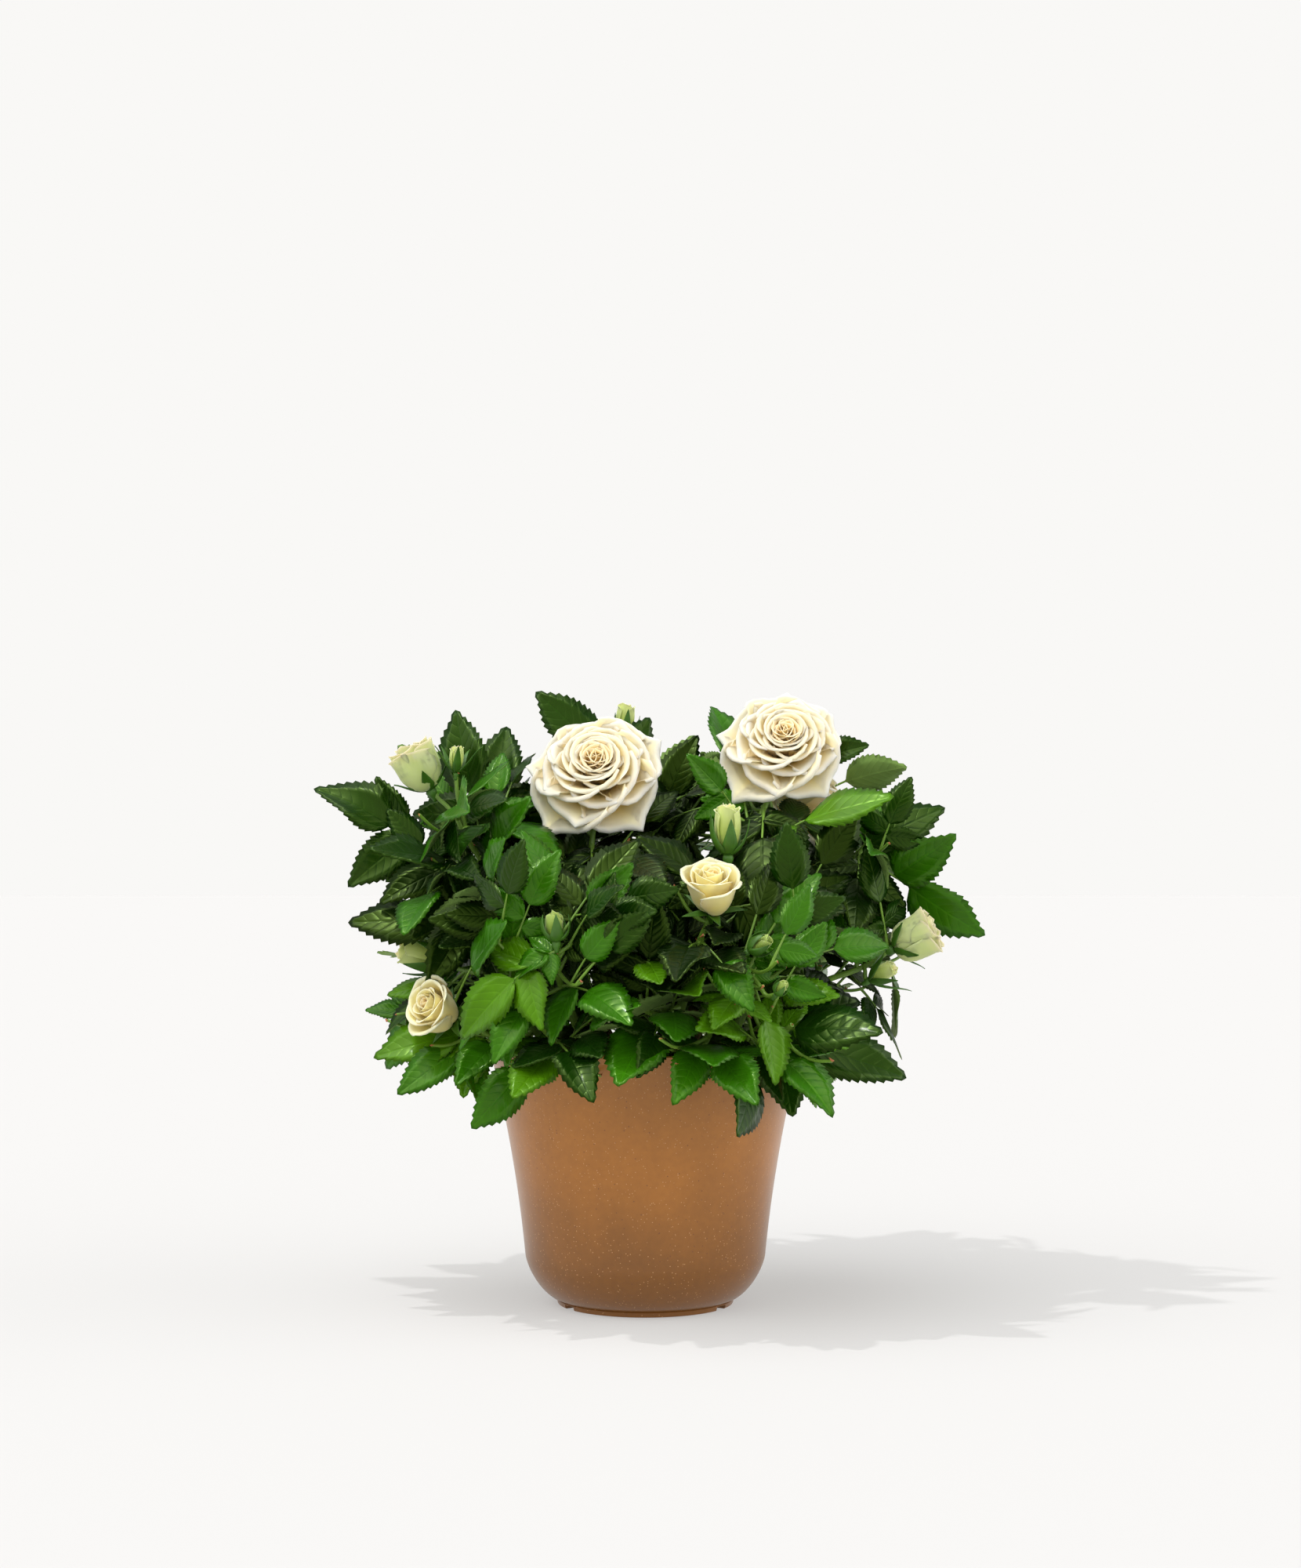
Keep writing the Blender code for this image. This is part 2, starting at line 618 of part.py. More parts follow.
def try_leaf(shoot, leaf, room, key):
    """Keep the leaf if its stalk and end leaflet are free, with the side leaflets that are."""
    radii = (LEAF_STALK_RADII[0], LEAF_STALK_RADII[0])
    stalk = [leaf.at(share * leaf.end_share)[0] for share in (0.15, 0.5, 1.0)]
    if not all(inside_crown(point) for point in stalk + leaf.blades[0].points()[1:-2]):
        return False
    if hides_flower(stalk + leaf.blades[0].sight_points(), room.front_flowers):
        return False
    if not room.line_is_free(shoot.name, stalk, radii):
        return False
    if not room.body_is_free(shoot.name, key, leaf.blades[0]):
        return False
    leaf.blades[1:] = [blade for blade in leaf.blades[1:] if all(map(inside_crown, blade.points()[1:-2]))
                       and not hides_flower(blade.sight_points(), room.front_flowers)
                       and room.body_is_free(shoot.name, key, blade)]
    room.add_line(shoot.name, [leaf.root, leaf.joint], radii)
    for blade in leaf.blades:
        room.add_body(shoot.name, key, blade)
    shoot.leaves.append(leaf)
    return True


def place_aimed_leaf(shoot, aim, room, key):
    """A leaf to a given tip, from the best place on the stem that leaves room for it."""
    roots = [along(shoot.stem.points, share)[0] for share in AIMED_ROOTS]
    roots.sort(key=lambda place: abs((aim - place).length - AIMED_LENGTH))
    for root in roots:
        for twist in AIMED_TWISTS:
            if try_leaf(shoot, Leaf(root, aim, twist), room, key):
                return


def grow_leaves(shoots, room):
    """First the leaves that give the outline, then the rest of each shoot by a seeded rule."""
    for shoot in shoots:
        for number, aim in enumerate(shoot.aims):
            place_aimed_leaf(shoot, aim, room, "aim%d" % number)
    for shoot in shoots:
        rng = random.Random(SEED + sum(ord(letter) for letter in shoot.name))
        turn = rng.uniform(0.0, 2 * math.pi)
        length = sum((b - a).length for a, b in zip(shoot.stem.points, shoot.stem.points[1:]))
        count = max(LEAVES_MIN, round(length / LEAF_SPACING))
        for index in range(count):
            share = FIRST_LEAF + (LAST_LEAF - FIRST_LEAF) * index / (count - 1)
            root, forward = along(shoot.stem.points, share)
            across = forward.orthogonal().normalized()
            turn += GOLDEN_ANGLE
            for attempt in range(LEAF_TRIES):
                side = Matrix.Rotation(turn + attempt * TRY_TURN, 3, forward) @ across
                lean = rng.uniform(*LEAF_LEAN)
                aim = forward * math.cos(lean) + side * math.sin(lean)
                reach = LEAF_LENGTH * rng.uniform(*LEAF_REACH)
                tip = root + aim * reach - Vector((0.0, 0.0, rng.uniform(0.0, LEAF_DROP)))
                leaf = Leaf(root, tip, rng.uniform(-LEAF_TWIST, LEAF_TWIST))
                if all(inside_body(blade.tip) for blade in leaf.blades) and try_leaf(shoot, leaf, room, index):
                    break


def grow_plant():
    room = Room()
    limbs = grow_limbs()
    shoots = start_shoots(limbs, room)
    grow_leaves(shoots, room)
    return limbs, shoots


def wall_radius(height):
    """The pot's outer radius: a rounded heel, then a wall that flares towards the rim."""
    if height < HEEL_TOP:
        drop = (HEEL_TOP - height) / (HEEL_TOP - FOOT_HEIGHT)
        return FOOT_RADIUS + (HEEL_TOP_RADIUS - FOOT_RADIUS) * (1 - drop ** HEEL_POWER) ** (1 / HEEL_POWER)
    t = (height - HEEL_TOP) / (POT_HEIGHT - HEEL_TOP)
    return HEEL_TOP_RADIUS + WALL_SLOPE * t + WALL_FLARE * t * t


def make_material(name):
    colour, roughness = COLOURS[name]
    material = bpy.data.materials.new(name)
    material.use_nodes = True
    shader = material.node_tree.nodes["Principled BSDF"]
    shader.inputs["Base Color"].default_value = (*colour, 1.0)
    shader.inputs["Roughness"].default_value = roughness
    return material


def add_object(name, mesh, collection, material=None, smooth=True):
    thing = bpy.data.objects.new(name, mesh)
    collection.objects.link(thing)
    if material:
        mesh.materials.clear()
        mesh.materials.append(material)
    if smooth:
        mesh.shade_smooth()
        mesh.set_sharp_from_angle(angle=SHARP_ANGLE)
    return thing


def mesh_from_bmesh(name, shape):
    mesh = bpy.data.meshes.new(name)
    shape.to_mesh(mesh)
    shape.free()
    return mesh


def turned(name, profile, collection, material):
    """A body turned round Z from its profile, which runs down its outer side."""
    mesh = bpy.data.meshes.new(name)
    edges = [(index, index + 1) for index in range(len(profile) - 1)]
    if profile[0][0] > 0.0:
        edges.append((len(profile) - 1, 0))
    mesh.from_pydata([(radius, 0.0, height) for radius, height in profile], edges, [])
    thing = bpy.data.objects.new(name, mesh)
    collection.objects.link(thing)
    screw = thing.modifiers.new("Turn", "SCREW")
    screw.steps = TURN_STEPS
    screw.render_steps = TURN_STEPS
    screw.use_merge_vertices = True
    screw.merge_threshold = 0.00001
    screw.use_smooth_shade = True
    mesh.materials.append(material)
    return thing


def heel_levels():
    return [FOOT_HEIGHT + (HEEL_TOP - FOOT_HEIGHT) * share for share in HEEL_SHARES]


def wall_levels(top, shares):
    return [HEEL_TOP + (top - HEEL_TOP) * share for share in shares]


def inner_profile(gap, levels):
    """The pot's inner face from the floor up, moved in by a gap."""
    floor = FOOT_HEIGHT + WALL + gap
    points = [(FOOT_RADIUS - gap, floor)]
    for height in levels[1:]:
        raised = floor + (height - FOOT_HEIGHT) * (POT_HEIGHT - floor) / (POT_HEIGHT - FOOT_HEIGHT)
        points.append((wall_radius(raised) - WALL - gap, raised))
    return points


def make_pot(collection, cutters, material):
    levels = heel_levels() + wall_levels(POT_HEIGHT - LIP_ROUND, WALL_SHARES)
    outer = [(wall_radius(height), height) for height in reversed(levels)]
    lip = [(RIM_RADIUS - LIP_ROUND, POT_HEIGHT)]
    foot_inside = FOOT_RADIUS - FOOT_WIDTH
    underside = FOOT_HEIGHT - FOOT_RECESS
    foot = [(FOOT_RADIUS, FOOT_HEIGHT), (FOOT_RADIUS, 0.0), (foot_inside, 0.0),
            (foot_inside - FOOT_RECESS, underside), (0.0, underside)]
    inner = [(0.0, FOOT_HEIGHT + WALL)] + inner_profile(0.0, levels)
    inner_lip = [(RIM_RADIUS - WALL + LIP_ROUND, POT_HEIGHT)]
    pot = turned("pot", lip + outer + foot + inner + inner_lip, collection, material)
    for number, angle in enumerate(NOTCH_ANGLES):
        bpy.ops.mesh.primitive_cube_add(size=1.0)
        notch = bpy.context.active_object
        notch.name = "notch_%d" % (number + 1)
        notch.dimensions = (FOOT_WIDTH * 2, NOTCH_WIDTH, FOOT_HEIGHT)
        turn = math.radians(angle)
        reach = FOOT_RADIUS - FOOT_WIDTH / 2
        notch.location = (reach * math.cos(turn), reach * math.sin(turn), NOTCH_DEPTH - FOOT_HEIGHT / 2)
        notch.rotation_euler = (0.0, 0.0, turn)
        for holder in notch.users_collection:
            holder.objects.unlink(notch)
        cutters.objects.link(notch)
        notch.hide_render = True
        notch.display_type = "WIRE"
        cut = pot.modifiers.new("Notch %d" % (number + 1), "BOOLEAN")
        cut.operation = "DIFFERENCE"
        cut.object = notch
    return pot


def make_soil(collection, material):
    levels = heel_levels() + wall_levels(SOIL_TOP, SOIL_SHARES)
    side = [point for point in inner_profile(2 * FREE_GAP, levels) if point[1] < SOIL_TOP]
    top = wall_radius(SOIL_TOP) - WALL - 2 * FREE_GAP
    profile = [(0.0, SOIL_TOP), (top, SOIL_TOP)] + list(reversed(side)) + [(0.0, side[0][1])]
    return turned("growing_medium", profile, collection, material)


def tube_mesh(name, points, radii, sides):
    """A tapering tube as a closed mesh, from a curve with a bevel and filled caps."""
    curve = bpy.data.curves.new(name, "CURVE")
    curve.dimensions = "3D"
    curve.bevel_depth = 1.0
    curve.bevel_resolution = (sides - 4) // 2
    curve.use_fill_caps = True
    spline = curve.splines.new("POLY")
    spline.points.add(len(points) - 1)
    for index, (point, place) in enumerate(zip(spline.points, points)):
        point.co = (*place, 1.0)
        point.radius = radii[index]
    holder = bpy.data.objects.new(name, curve)
    bpy.context.scene.collection.objects.link(holder)
    depsgraph = bpy.context.evaluated_depsgraph_get()
    mesh = bpy.data.meshes.new_from_object(holder.evaluated_get(depsgraph))
    bpy.data.objects.remove(holder)
    bpy.data.curves.remove(curve)
    shape = bmesh.new()
    shape.from_mesh(mesh)
    bmesh.ops.remove_doubles(shape, verts=shape.verts, dist=0.000001)
    bmesh.ops.recalc_face_normals(shape, faces=shape.faces)
    shape.to_mesh(mesh)
    shape.free()
    mesh.name = name
    return mesh


def limb_radii(limb, flare=1.0):
    """The radius at each point of a limb, wider at its foot where it flares."""
    count = len(limb.points)
    radii = [limb.radius(index / (count - 1)) for index in range(count)]
    radii[0] *= flare
    return radii


def body_mesh(name, places, sides, rings):
    """A blade or a flower head, drawn out of a sphere with the given sides and rings."""
    shape = bmesh.new()
    bmesh.ops.create_uvsphere(shape, u_segments=sides, v_segments=rings + 1, radius=1.0)
    for vertex in shape.verts:
        if math.hypot(vertex.co.x, vertex.co.y) < 0.01:
            vertex.co = places[-1 if vertex.co.z > 0.0 else -2]
        else:
            angle = math.atan2(vertex.co.y, vertex.co.x) % (2 * math.pi)
            ring = round((rings + 1) * math.acos(-vertex.co.z) / math.pi) - 1
            vertex.co = places[ring * sides + round(angle * sides / (2 * math.pi)) % sides]
    bmesh.ops.triangulate(shape, faces=shape.faces)
    bmesh.ops.recalc_face_normals(shape, faces=shape.faces)
    return mesh_from_bmesh(name, shape)


def stick_mesh(name, start, end, radii):
    """A straight three-sided stick."""
    shape = bmesh.new()
    line = end - start
    place = Matrix.Translation((start + end) / 2) @ line.to_track_quat("Z", "Y").to_matrix().to_4x4()
    bmesh.ops.create_cone(shape, cap_ends=True, segments=3, radius1=radii[0], radius2=radii[1],
                          depth=line.length, matrix=place)
    return mesh_from_bmesh(name, shape)


def shoot_meshes(shoot):
    """All the small closed bodies that are joined to the shoot's stem."""
    meshes = [tube_mesh("stalk", stalk.points, limb_radii(stalk), SHOOT_SIDES) for stalk in shoot.stalks]
    for flower in shoot.flowers:
        meshes.append(body_mesh("head", flower.points(), 2 * flower.petals, len(flower.rings)))
    for leaf in shoot.leaves:
        meshes.append(stick_mesh("stalk", leaf.root, leaf.joint, LEAF_STALK_RADII))
        for blade in leaf.blades:
            meshes.append(body_mesh("leaflet", blade.points(), 2 * len(blade.shape) + 2, 1))
    return meshes


def islands(shape):
    """The separate bodies of a mesh, as lists of faces."""
    left = set(shape.faces)
    groups = []
    while left:
        seed = left.pop()
        group = [seed]
        stack = [seed]
        while stack:
            for edge in stack.pop().edges:
                for face in edge.link_faces:
                    if face in left:
                        left.remove(face)
                        group.append(face)
                        stack.append(face)
        groups.append(group)
    return groups


def keep_main_body(mesh):
    """Drop loose scraps and the walls of sealed hollows, so that one closed body is left."""
    shape = bmesh.new()
    shape.from_mesh(mesh)
    groups = islands(shape)
    groups.sort(key=len, reverse=True)
    scrap = [face for group in groups[1:] for face in group]
    if scrap:
        bmesh.ops.delete(shape, geom=scrap, context="FACES")
    bmesh.ops.dissolve_degenerate(shape, edges=shape.edges, dist=TOUCH)
    bmesh.ops.triangulate(shape, faces=shape.faces)
    shape.to_mesh(mesh)
    shape.free()


def is_sound(mesh):
    """True where every edge has its two faces, also once touching corners are one."""
    shape = bmesh.new()
    shape.from_mesh(mesh)
    bmesh.ops.remove_doubles(shape, verts=shape.verts, dist=TOUCH)
    sound = len(shape.faces) > 0 and all(len(edge.link_faces) == 2 for edge in shape.edges)
    shape.free()
    return sound


def evaluated_mesh(thing):
    """The object's mesh with its modifiers applied, as one closed body."""
    depsgraph = bpy.context.evaluated_depsgraph_get()
    mesh = bpy.data.meshes.new_from_object(thing.evaluated_get(depsgraph))
    keep_main_body(mesh)
    return mesh


def fuse(thing, meshes, solver):
    """Join meshes to an object by one Boolean union, and give back the joined mesh."""
    parts = bpy.data.collections.new(thing.name + "_parts")
    bpy.context.scene.collection.children.link(parts)
    for mesh in meshes:
        add_object(mesh.name, mesh, parts, smooth=False)
    join = thing.modifiers.new("Join", "BOOLEAN")
    join.operation = "UNION"
    join.operand_type = "COLLECTION"
    join.collection = parts
    join.solver = solver
    joined = evaluated_mesh(thing)
    thing.modifiers.remove(join)
    for piece in list(parts.objects):
        bpy.data.objects.remove(piece)
    bpy.data.collections.remove(parts)
    return joined


def without_slivers(thing, mesh):
    """Collapse the slivers that the union leaves where two pieces meet."""
    whole = thing.data
    thing.data = mesh
    collapse = thing.modifiers.new("Collapse", "DECIMATE")
    collapse.ratio = SLIVER_RATIO
    thinned = evaluated_mesh(thing)
    thing.modifiers.remove(collapse)
    thing.data = whole
    return thinned


def make_shoot(shoot, collection, material):
    """A shoot's stem, joined with all that grows on it; one that won't join loses a leaf."""
    stem = tube_mesh(shoot.name, shoot.stem.points, limb_radii(shoot.stem), SHOOT_SIDES)
    thing = add_object(shoot.name, stem, collection, smooth=False)
    sound = []
    while not sound:
        for solver in ("EXACT", "MANIFOLD"):
            joined = fuse(thing, shoot_meshes(shoot), solver)
            sound = [mesh for mesh in (without_slivers(thing, joined), joined) if is_sound(mesh)]
            if sound:
                break
        else:
            shoot.leaves.pop()
    mesh = sound[0]
    thing.data = mesh
    mesh.name = shoot.name
    mesh.materials.clear()
    mesh.materials.append(material)
    mesh.shade_smooth()
    mesh.set_sharp_from_angle(angle=SHARP_ANGLE)
    return thing


def main():
    for thing in list(bpy.data.objects):
        bpy.data.objects.remove(thing)
    plant = bpy.data.collections.new("Potted rose bush")
    cutters = bpy.data.collections.new("Cutters")
    bpy.context.scene.collection.children.link(plant)
    bpy.context.scene.collection.children.link(cutters)
    materials = {name: make_material(name) for name in COLOURS}
    make_pot(plant, cutters, materials["pot"])
    make_soil(plant, materials["soil"])
    limbs, shoots = grow_plant()
    for limb in limbs.values():
        flare = STEM_FLARE if limb.name.startswith("stem_") else 1.0
        mesh = tube_mesh(limb.name, limb.points, limb_radii(limb, flare), LIMB_SIDES)
        add_object(limb.name, mesh, plant, materials["wood"])
    for shoot in shoots:
        make_shoot(shoot, plant, materials["foliage"])


main()
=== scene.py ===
"""Dresses a miniature rose bush in its pot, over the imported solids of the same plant.

Metres, +Z up. The front of the plant looks along -Y. The pot, the growing medium, the canes, the
green twigs, the leaves and the roses are each made by an operator of their own.
"""
import functools
import itertools
import json
import math
import random

import bmesh
import bpy
import numpy as np
from mathutils import Matrix, Vector
from mathutils.bvhtree import BVHTree

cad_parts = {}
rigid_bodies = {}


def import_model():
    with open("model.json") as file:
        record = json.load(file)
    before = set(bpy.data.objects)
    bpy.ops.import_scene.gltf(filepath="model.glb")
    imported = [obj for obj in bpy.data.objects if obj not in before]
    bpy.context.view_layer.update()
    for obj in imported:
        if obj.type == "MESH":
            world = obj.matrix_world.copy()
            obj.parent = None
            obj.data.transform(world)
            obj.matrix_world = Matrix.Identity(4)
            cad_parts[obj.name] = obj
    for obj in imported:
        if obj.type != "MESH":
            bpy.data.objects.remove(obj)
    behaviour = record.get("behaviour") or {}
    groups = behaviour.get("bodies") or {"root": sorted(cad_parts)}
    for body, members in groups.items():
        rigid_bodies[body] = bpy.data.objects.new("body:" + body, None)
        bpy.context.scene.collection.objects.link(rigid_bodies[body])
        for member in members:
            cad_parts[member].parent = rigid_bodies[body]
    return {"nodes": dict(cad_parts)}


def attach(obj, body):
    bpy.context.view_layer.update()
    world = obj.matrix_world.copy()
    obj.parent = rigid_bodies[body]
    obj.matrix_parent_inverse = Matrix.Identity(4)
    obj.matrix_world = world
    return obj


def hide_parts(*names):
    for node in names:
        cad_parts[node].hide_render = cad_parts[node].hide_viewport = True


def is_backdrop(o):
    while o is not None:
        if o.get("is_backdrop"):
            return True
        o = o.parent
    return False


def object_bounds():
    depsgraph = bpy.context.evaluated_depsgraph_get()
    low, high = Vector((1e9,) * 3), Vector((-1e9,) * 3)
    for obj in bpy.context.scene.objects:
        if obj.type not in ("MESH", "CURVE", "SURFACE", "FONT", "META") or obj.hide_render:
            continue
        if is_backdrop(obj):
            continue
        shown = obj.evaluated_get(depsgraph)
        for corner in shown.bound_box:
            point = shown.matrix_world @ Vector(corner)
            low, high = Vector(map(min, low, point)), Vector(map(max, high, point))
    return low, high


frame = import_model()
CAD_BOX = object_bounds()
BODY = "root"

bl_info = {
    "name": "Potted rose bush",
    "version": (1, 0, 0),
    "blender": (4, 5, 0),
    "location": "3D View > Sidebar > Rose bush",
    "description": "Gives a potted rose bush its bark, leaves, roses, growing medium and pot",
    "category": "Object",
}

# Pot: a round cover pot with a soft heel and a low notched foot ring
POT_HEIGHT = 0.1222
RIM_RADIUS = 0.075
WALL = 0.003
HEEL_TOP = 0.024
HEEL_TOP_RADIUS = 0.0574
HEEL_POWER = 1.5
WALL_SLOPE = 0.010
WALL_FLARE = RIM_RADIUS - HEEL_TOP_RADIUS - WALL_SLOPE
FOOT_RADIUS = 0.042
FOOT_WIDTH = 0.008
FOOT_HEIGHT = 0.0026
LIP_ROUND = 0.0012
NOTCH_WIDTH = 0.008
NOTCH_DEPTH = 0.0020
NOTCH_ANGLES = (-148.0, -32.0, 90.0)
SOIL_TOP = 0.108

# Gaps that the planting rule keeps, as between the solids, and how far round it looks
FREE_GAP = 0.0003
SIDE_GAP = 0.00045
CLEARANCE = 0.0006
RIM_CLEARANCE = 0.003
SEARCH = 0.006
BEAD_STEP = 0.0015
ALL_ROUND = Vector((1.0, 1.0, 1.0))

# The crown's own space, from the middle of the pot
REACH_LEFT = 0.1565
REACH_RIGHT = 0.1595
REACH_DEPTH = 0.1190
BACK_REACH = 0.1165
CROWN_TOP = 0.2945
LOWEST_TIP = 0.0930
BODY_HALF_WIDTH = 0.132
BODY_HALF_DEPTH = 0.114
BODY_BOTTOM = 0.112
BODY_TOP = 0.268

# Leaves: a stalk with an end leaflet and pairs of side leaflets
LEAFLET_MAX = 0.046
LEAFLET_MIN = 0.026
LEAFLET_SHARE = 0.56
LEAFLET_ASPECT = 0.60
LEAFLET_THICKNESS = 0.030
END_LEAFLET = ((0.28, 0.50), (0.66, 0.42))
SIDE_LEAFLET = ((0.42, 0.46),)
BLADE_FOLD = 0.10
BLADE_DROOP = 0.06
RIDGE_PLACE = 0.40
RIDGE_SAG = 0.2
SIGHT_SHARES = (0.2, 0.4, 0.6, 0.8)
SIDE_LEAFLET_SHARE = 0.80
SIDE_LEAFLET_ANGLE = math.radians(70.0)
SIDE_LEAFLET_PLACES = ((-1.0, 0.72), (1.0, 0.54))
SIDE_LEAFLET_SAG = 0.12
LEAF_SPACING = 0.0135
LEAVES_MIN = 4
LEAF_LENGTH = 0.068
AIMED_LENGTH = 0.074
LEAF_BOW = 0.10
LEAFLET_SINK = 0.0006
END_LEAFLET_SINK = 0.001
LEAF_STALK_RADIUS = 0.0011

# Which way a leaf faces: up, outwards, and towards the light at the front of the plant
FACE_UP = 0.60
FACE_OUT = 0.30
FRONT_LIGHT = 0.75
FRONT_HALF = 0.020
FLOWER_VIEW = 0.52

# The leaves of one shoot: where they stand on its stem, and how far each is tried and turned
SEED = 11
GOLDEN_ANGLE = math.radians(137.5)
FIRST_LEAF = 0.22
LAST_LEAF = 0.96
LEAF_TRIES = 7
TRY_TURN = 0.9
LEAF_LEAN = (0.9, 1.3)
LEAF_REACH = (0.72, 1.05)
LEAF_DROP = 0.014
LEAF_TWIST = 0.4
AIMED_TWISTS = (0.0, 0.3, -0.3, 0.6, -0.6, 0.9, -0.9, 1.3, -1.3)
AIMED_ROOTS = tuple(0.14 + 0.065 * step for step in range(12))

# Flower heads: petals round, the height of the base, then rings from the base up as (height,
# radius, how far the petal tips stand out), and the height of the top, in shares of the width
HEAD_SINK = 0.14
HEADS = {
    "rose": (7, -0.20, ((-0.10, 0.24, 0.0), (-0.02, 0.46, 0.09), (0.14, 0.34, 0.0), (0.22, 0.18, 0.0)), 0.20),
    "young_rose": (5, -0.46, ((-0.30, 0.26, 0.0), (0.05, 0.46, 0.04), (0.34, 0.42, 0.12)), 0.38),
    "spent_rose": (5, -0.52, ((-0.34, 0.26, 0.0), (0.05, 0.38, 0.0), (0.50, 0.46, 0.14)), 0.34),
    "bud": (3, -0.78, ((-0.50, 0.42, 0.0), (0.0, 0.48, 0.0)), 0.86),
    "green_bud": (3, -0.55, ((-0.34, 0.40, 0.0), (0.08, 0.48, 0.0)), 0.68),
}

# How a limb's line runs: a short straight root, then a pull of this share at each end, with its
# points and how far its start is sunk into what carries it
LEAD_IN = 0.0015
FLOW_PULL = 0.38
LIMB_RISE = 0.9
SHOOT_RISE = 0.4
STEM_POINTS = 3
BOUGH_POINTS = 4
SHOOT_POINTS = 5
STALK_POINTS = 3
FORK_SINK = 0.001
FOOT_SINK = 0.004

# Woody base stems: name, foot on the growing medium, tip
STEM_BASE_RADIUS = 0.0052
STEM_TIP_RADIUS = 0.0036
STEM_FLARE = 1.5
BASE_STEMS = (
    ("front_left", (-0.015, -0.014), (-0.024, -0.022, 0.136)),
    ("front_right", (0.016, -0.013), (0.026, -0.021, 0.136)),
    ("back_left", (-0.016, 0.015), (-0.025, 0.022, 0.138)),
    ("back_right", (0.015, 0.016), (0.025, 0.024, 0.138)),
)

# Boughs: name, base stem, place along it (1 is its tip), own tip
BOUGH_BASE_RADIUS = 0.0027
BOUGH_TIP_RADIUS = 0.0021
BOUGHS = (
    ("left_high", "front_left", 1.0, (-0.027, -0.020, 0.196)),
    ("left_low", "front_left", 0.50, (-0.064, -0.026, 0.148)),
    ("left_front", "front_left", 0.72, (-0.036, -0.054, 0.146)),
    ("right_high", "front_right", 1.0, (0.046, -0.018, 0.204)),
    ("centre_front", "front_right", 0.72, (0.020, -0.046, 0.158)),
    ("right_front", "front_right", 0.50, (0.046, -0.050, 0.142)),
    ("right_low", "back_right", 0.50, (0.068, -0.010, 0.142)),
    ("far_left", "back_left", 0.72, (-0.068, 0.004, 0.190)),
    ("far_right", "back_right", 0.74, (0.074, 0.006, 0.188)),
    ("back_left", "back_left", 1.0, (-0.034, 0.044, 0.192)),
    ("back_right", "back_right", 1.0, (0.036, 0.046, 0.194)),
    ("back_middle", "back_left", 0.46, (0.004, 0.050, 0.150)),
    ("middle_high", "back_right", 0.46, (0.002, 0.014, 0.206)),
)

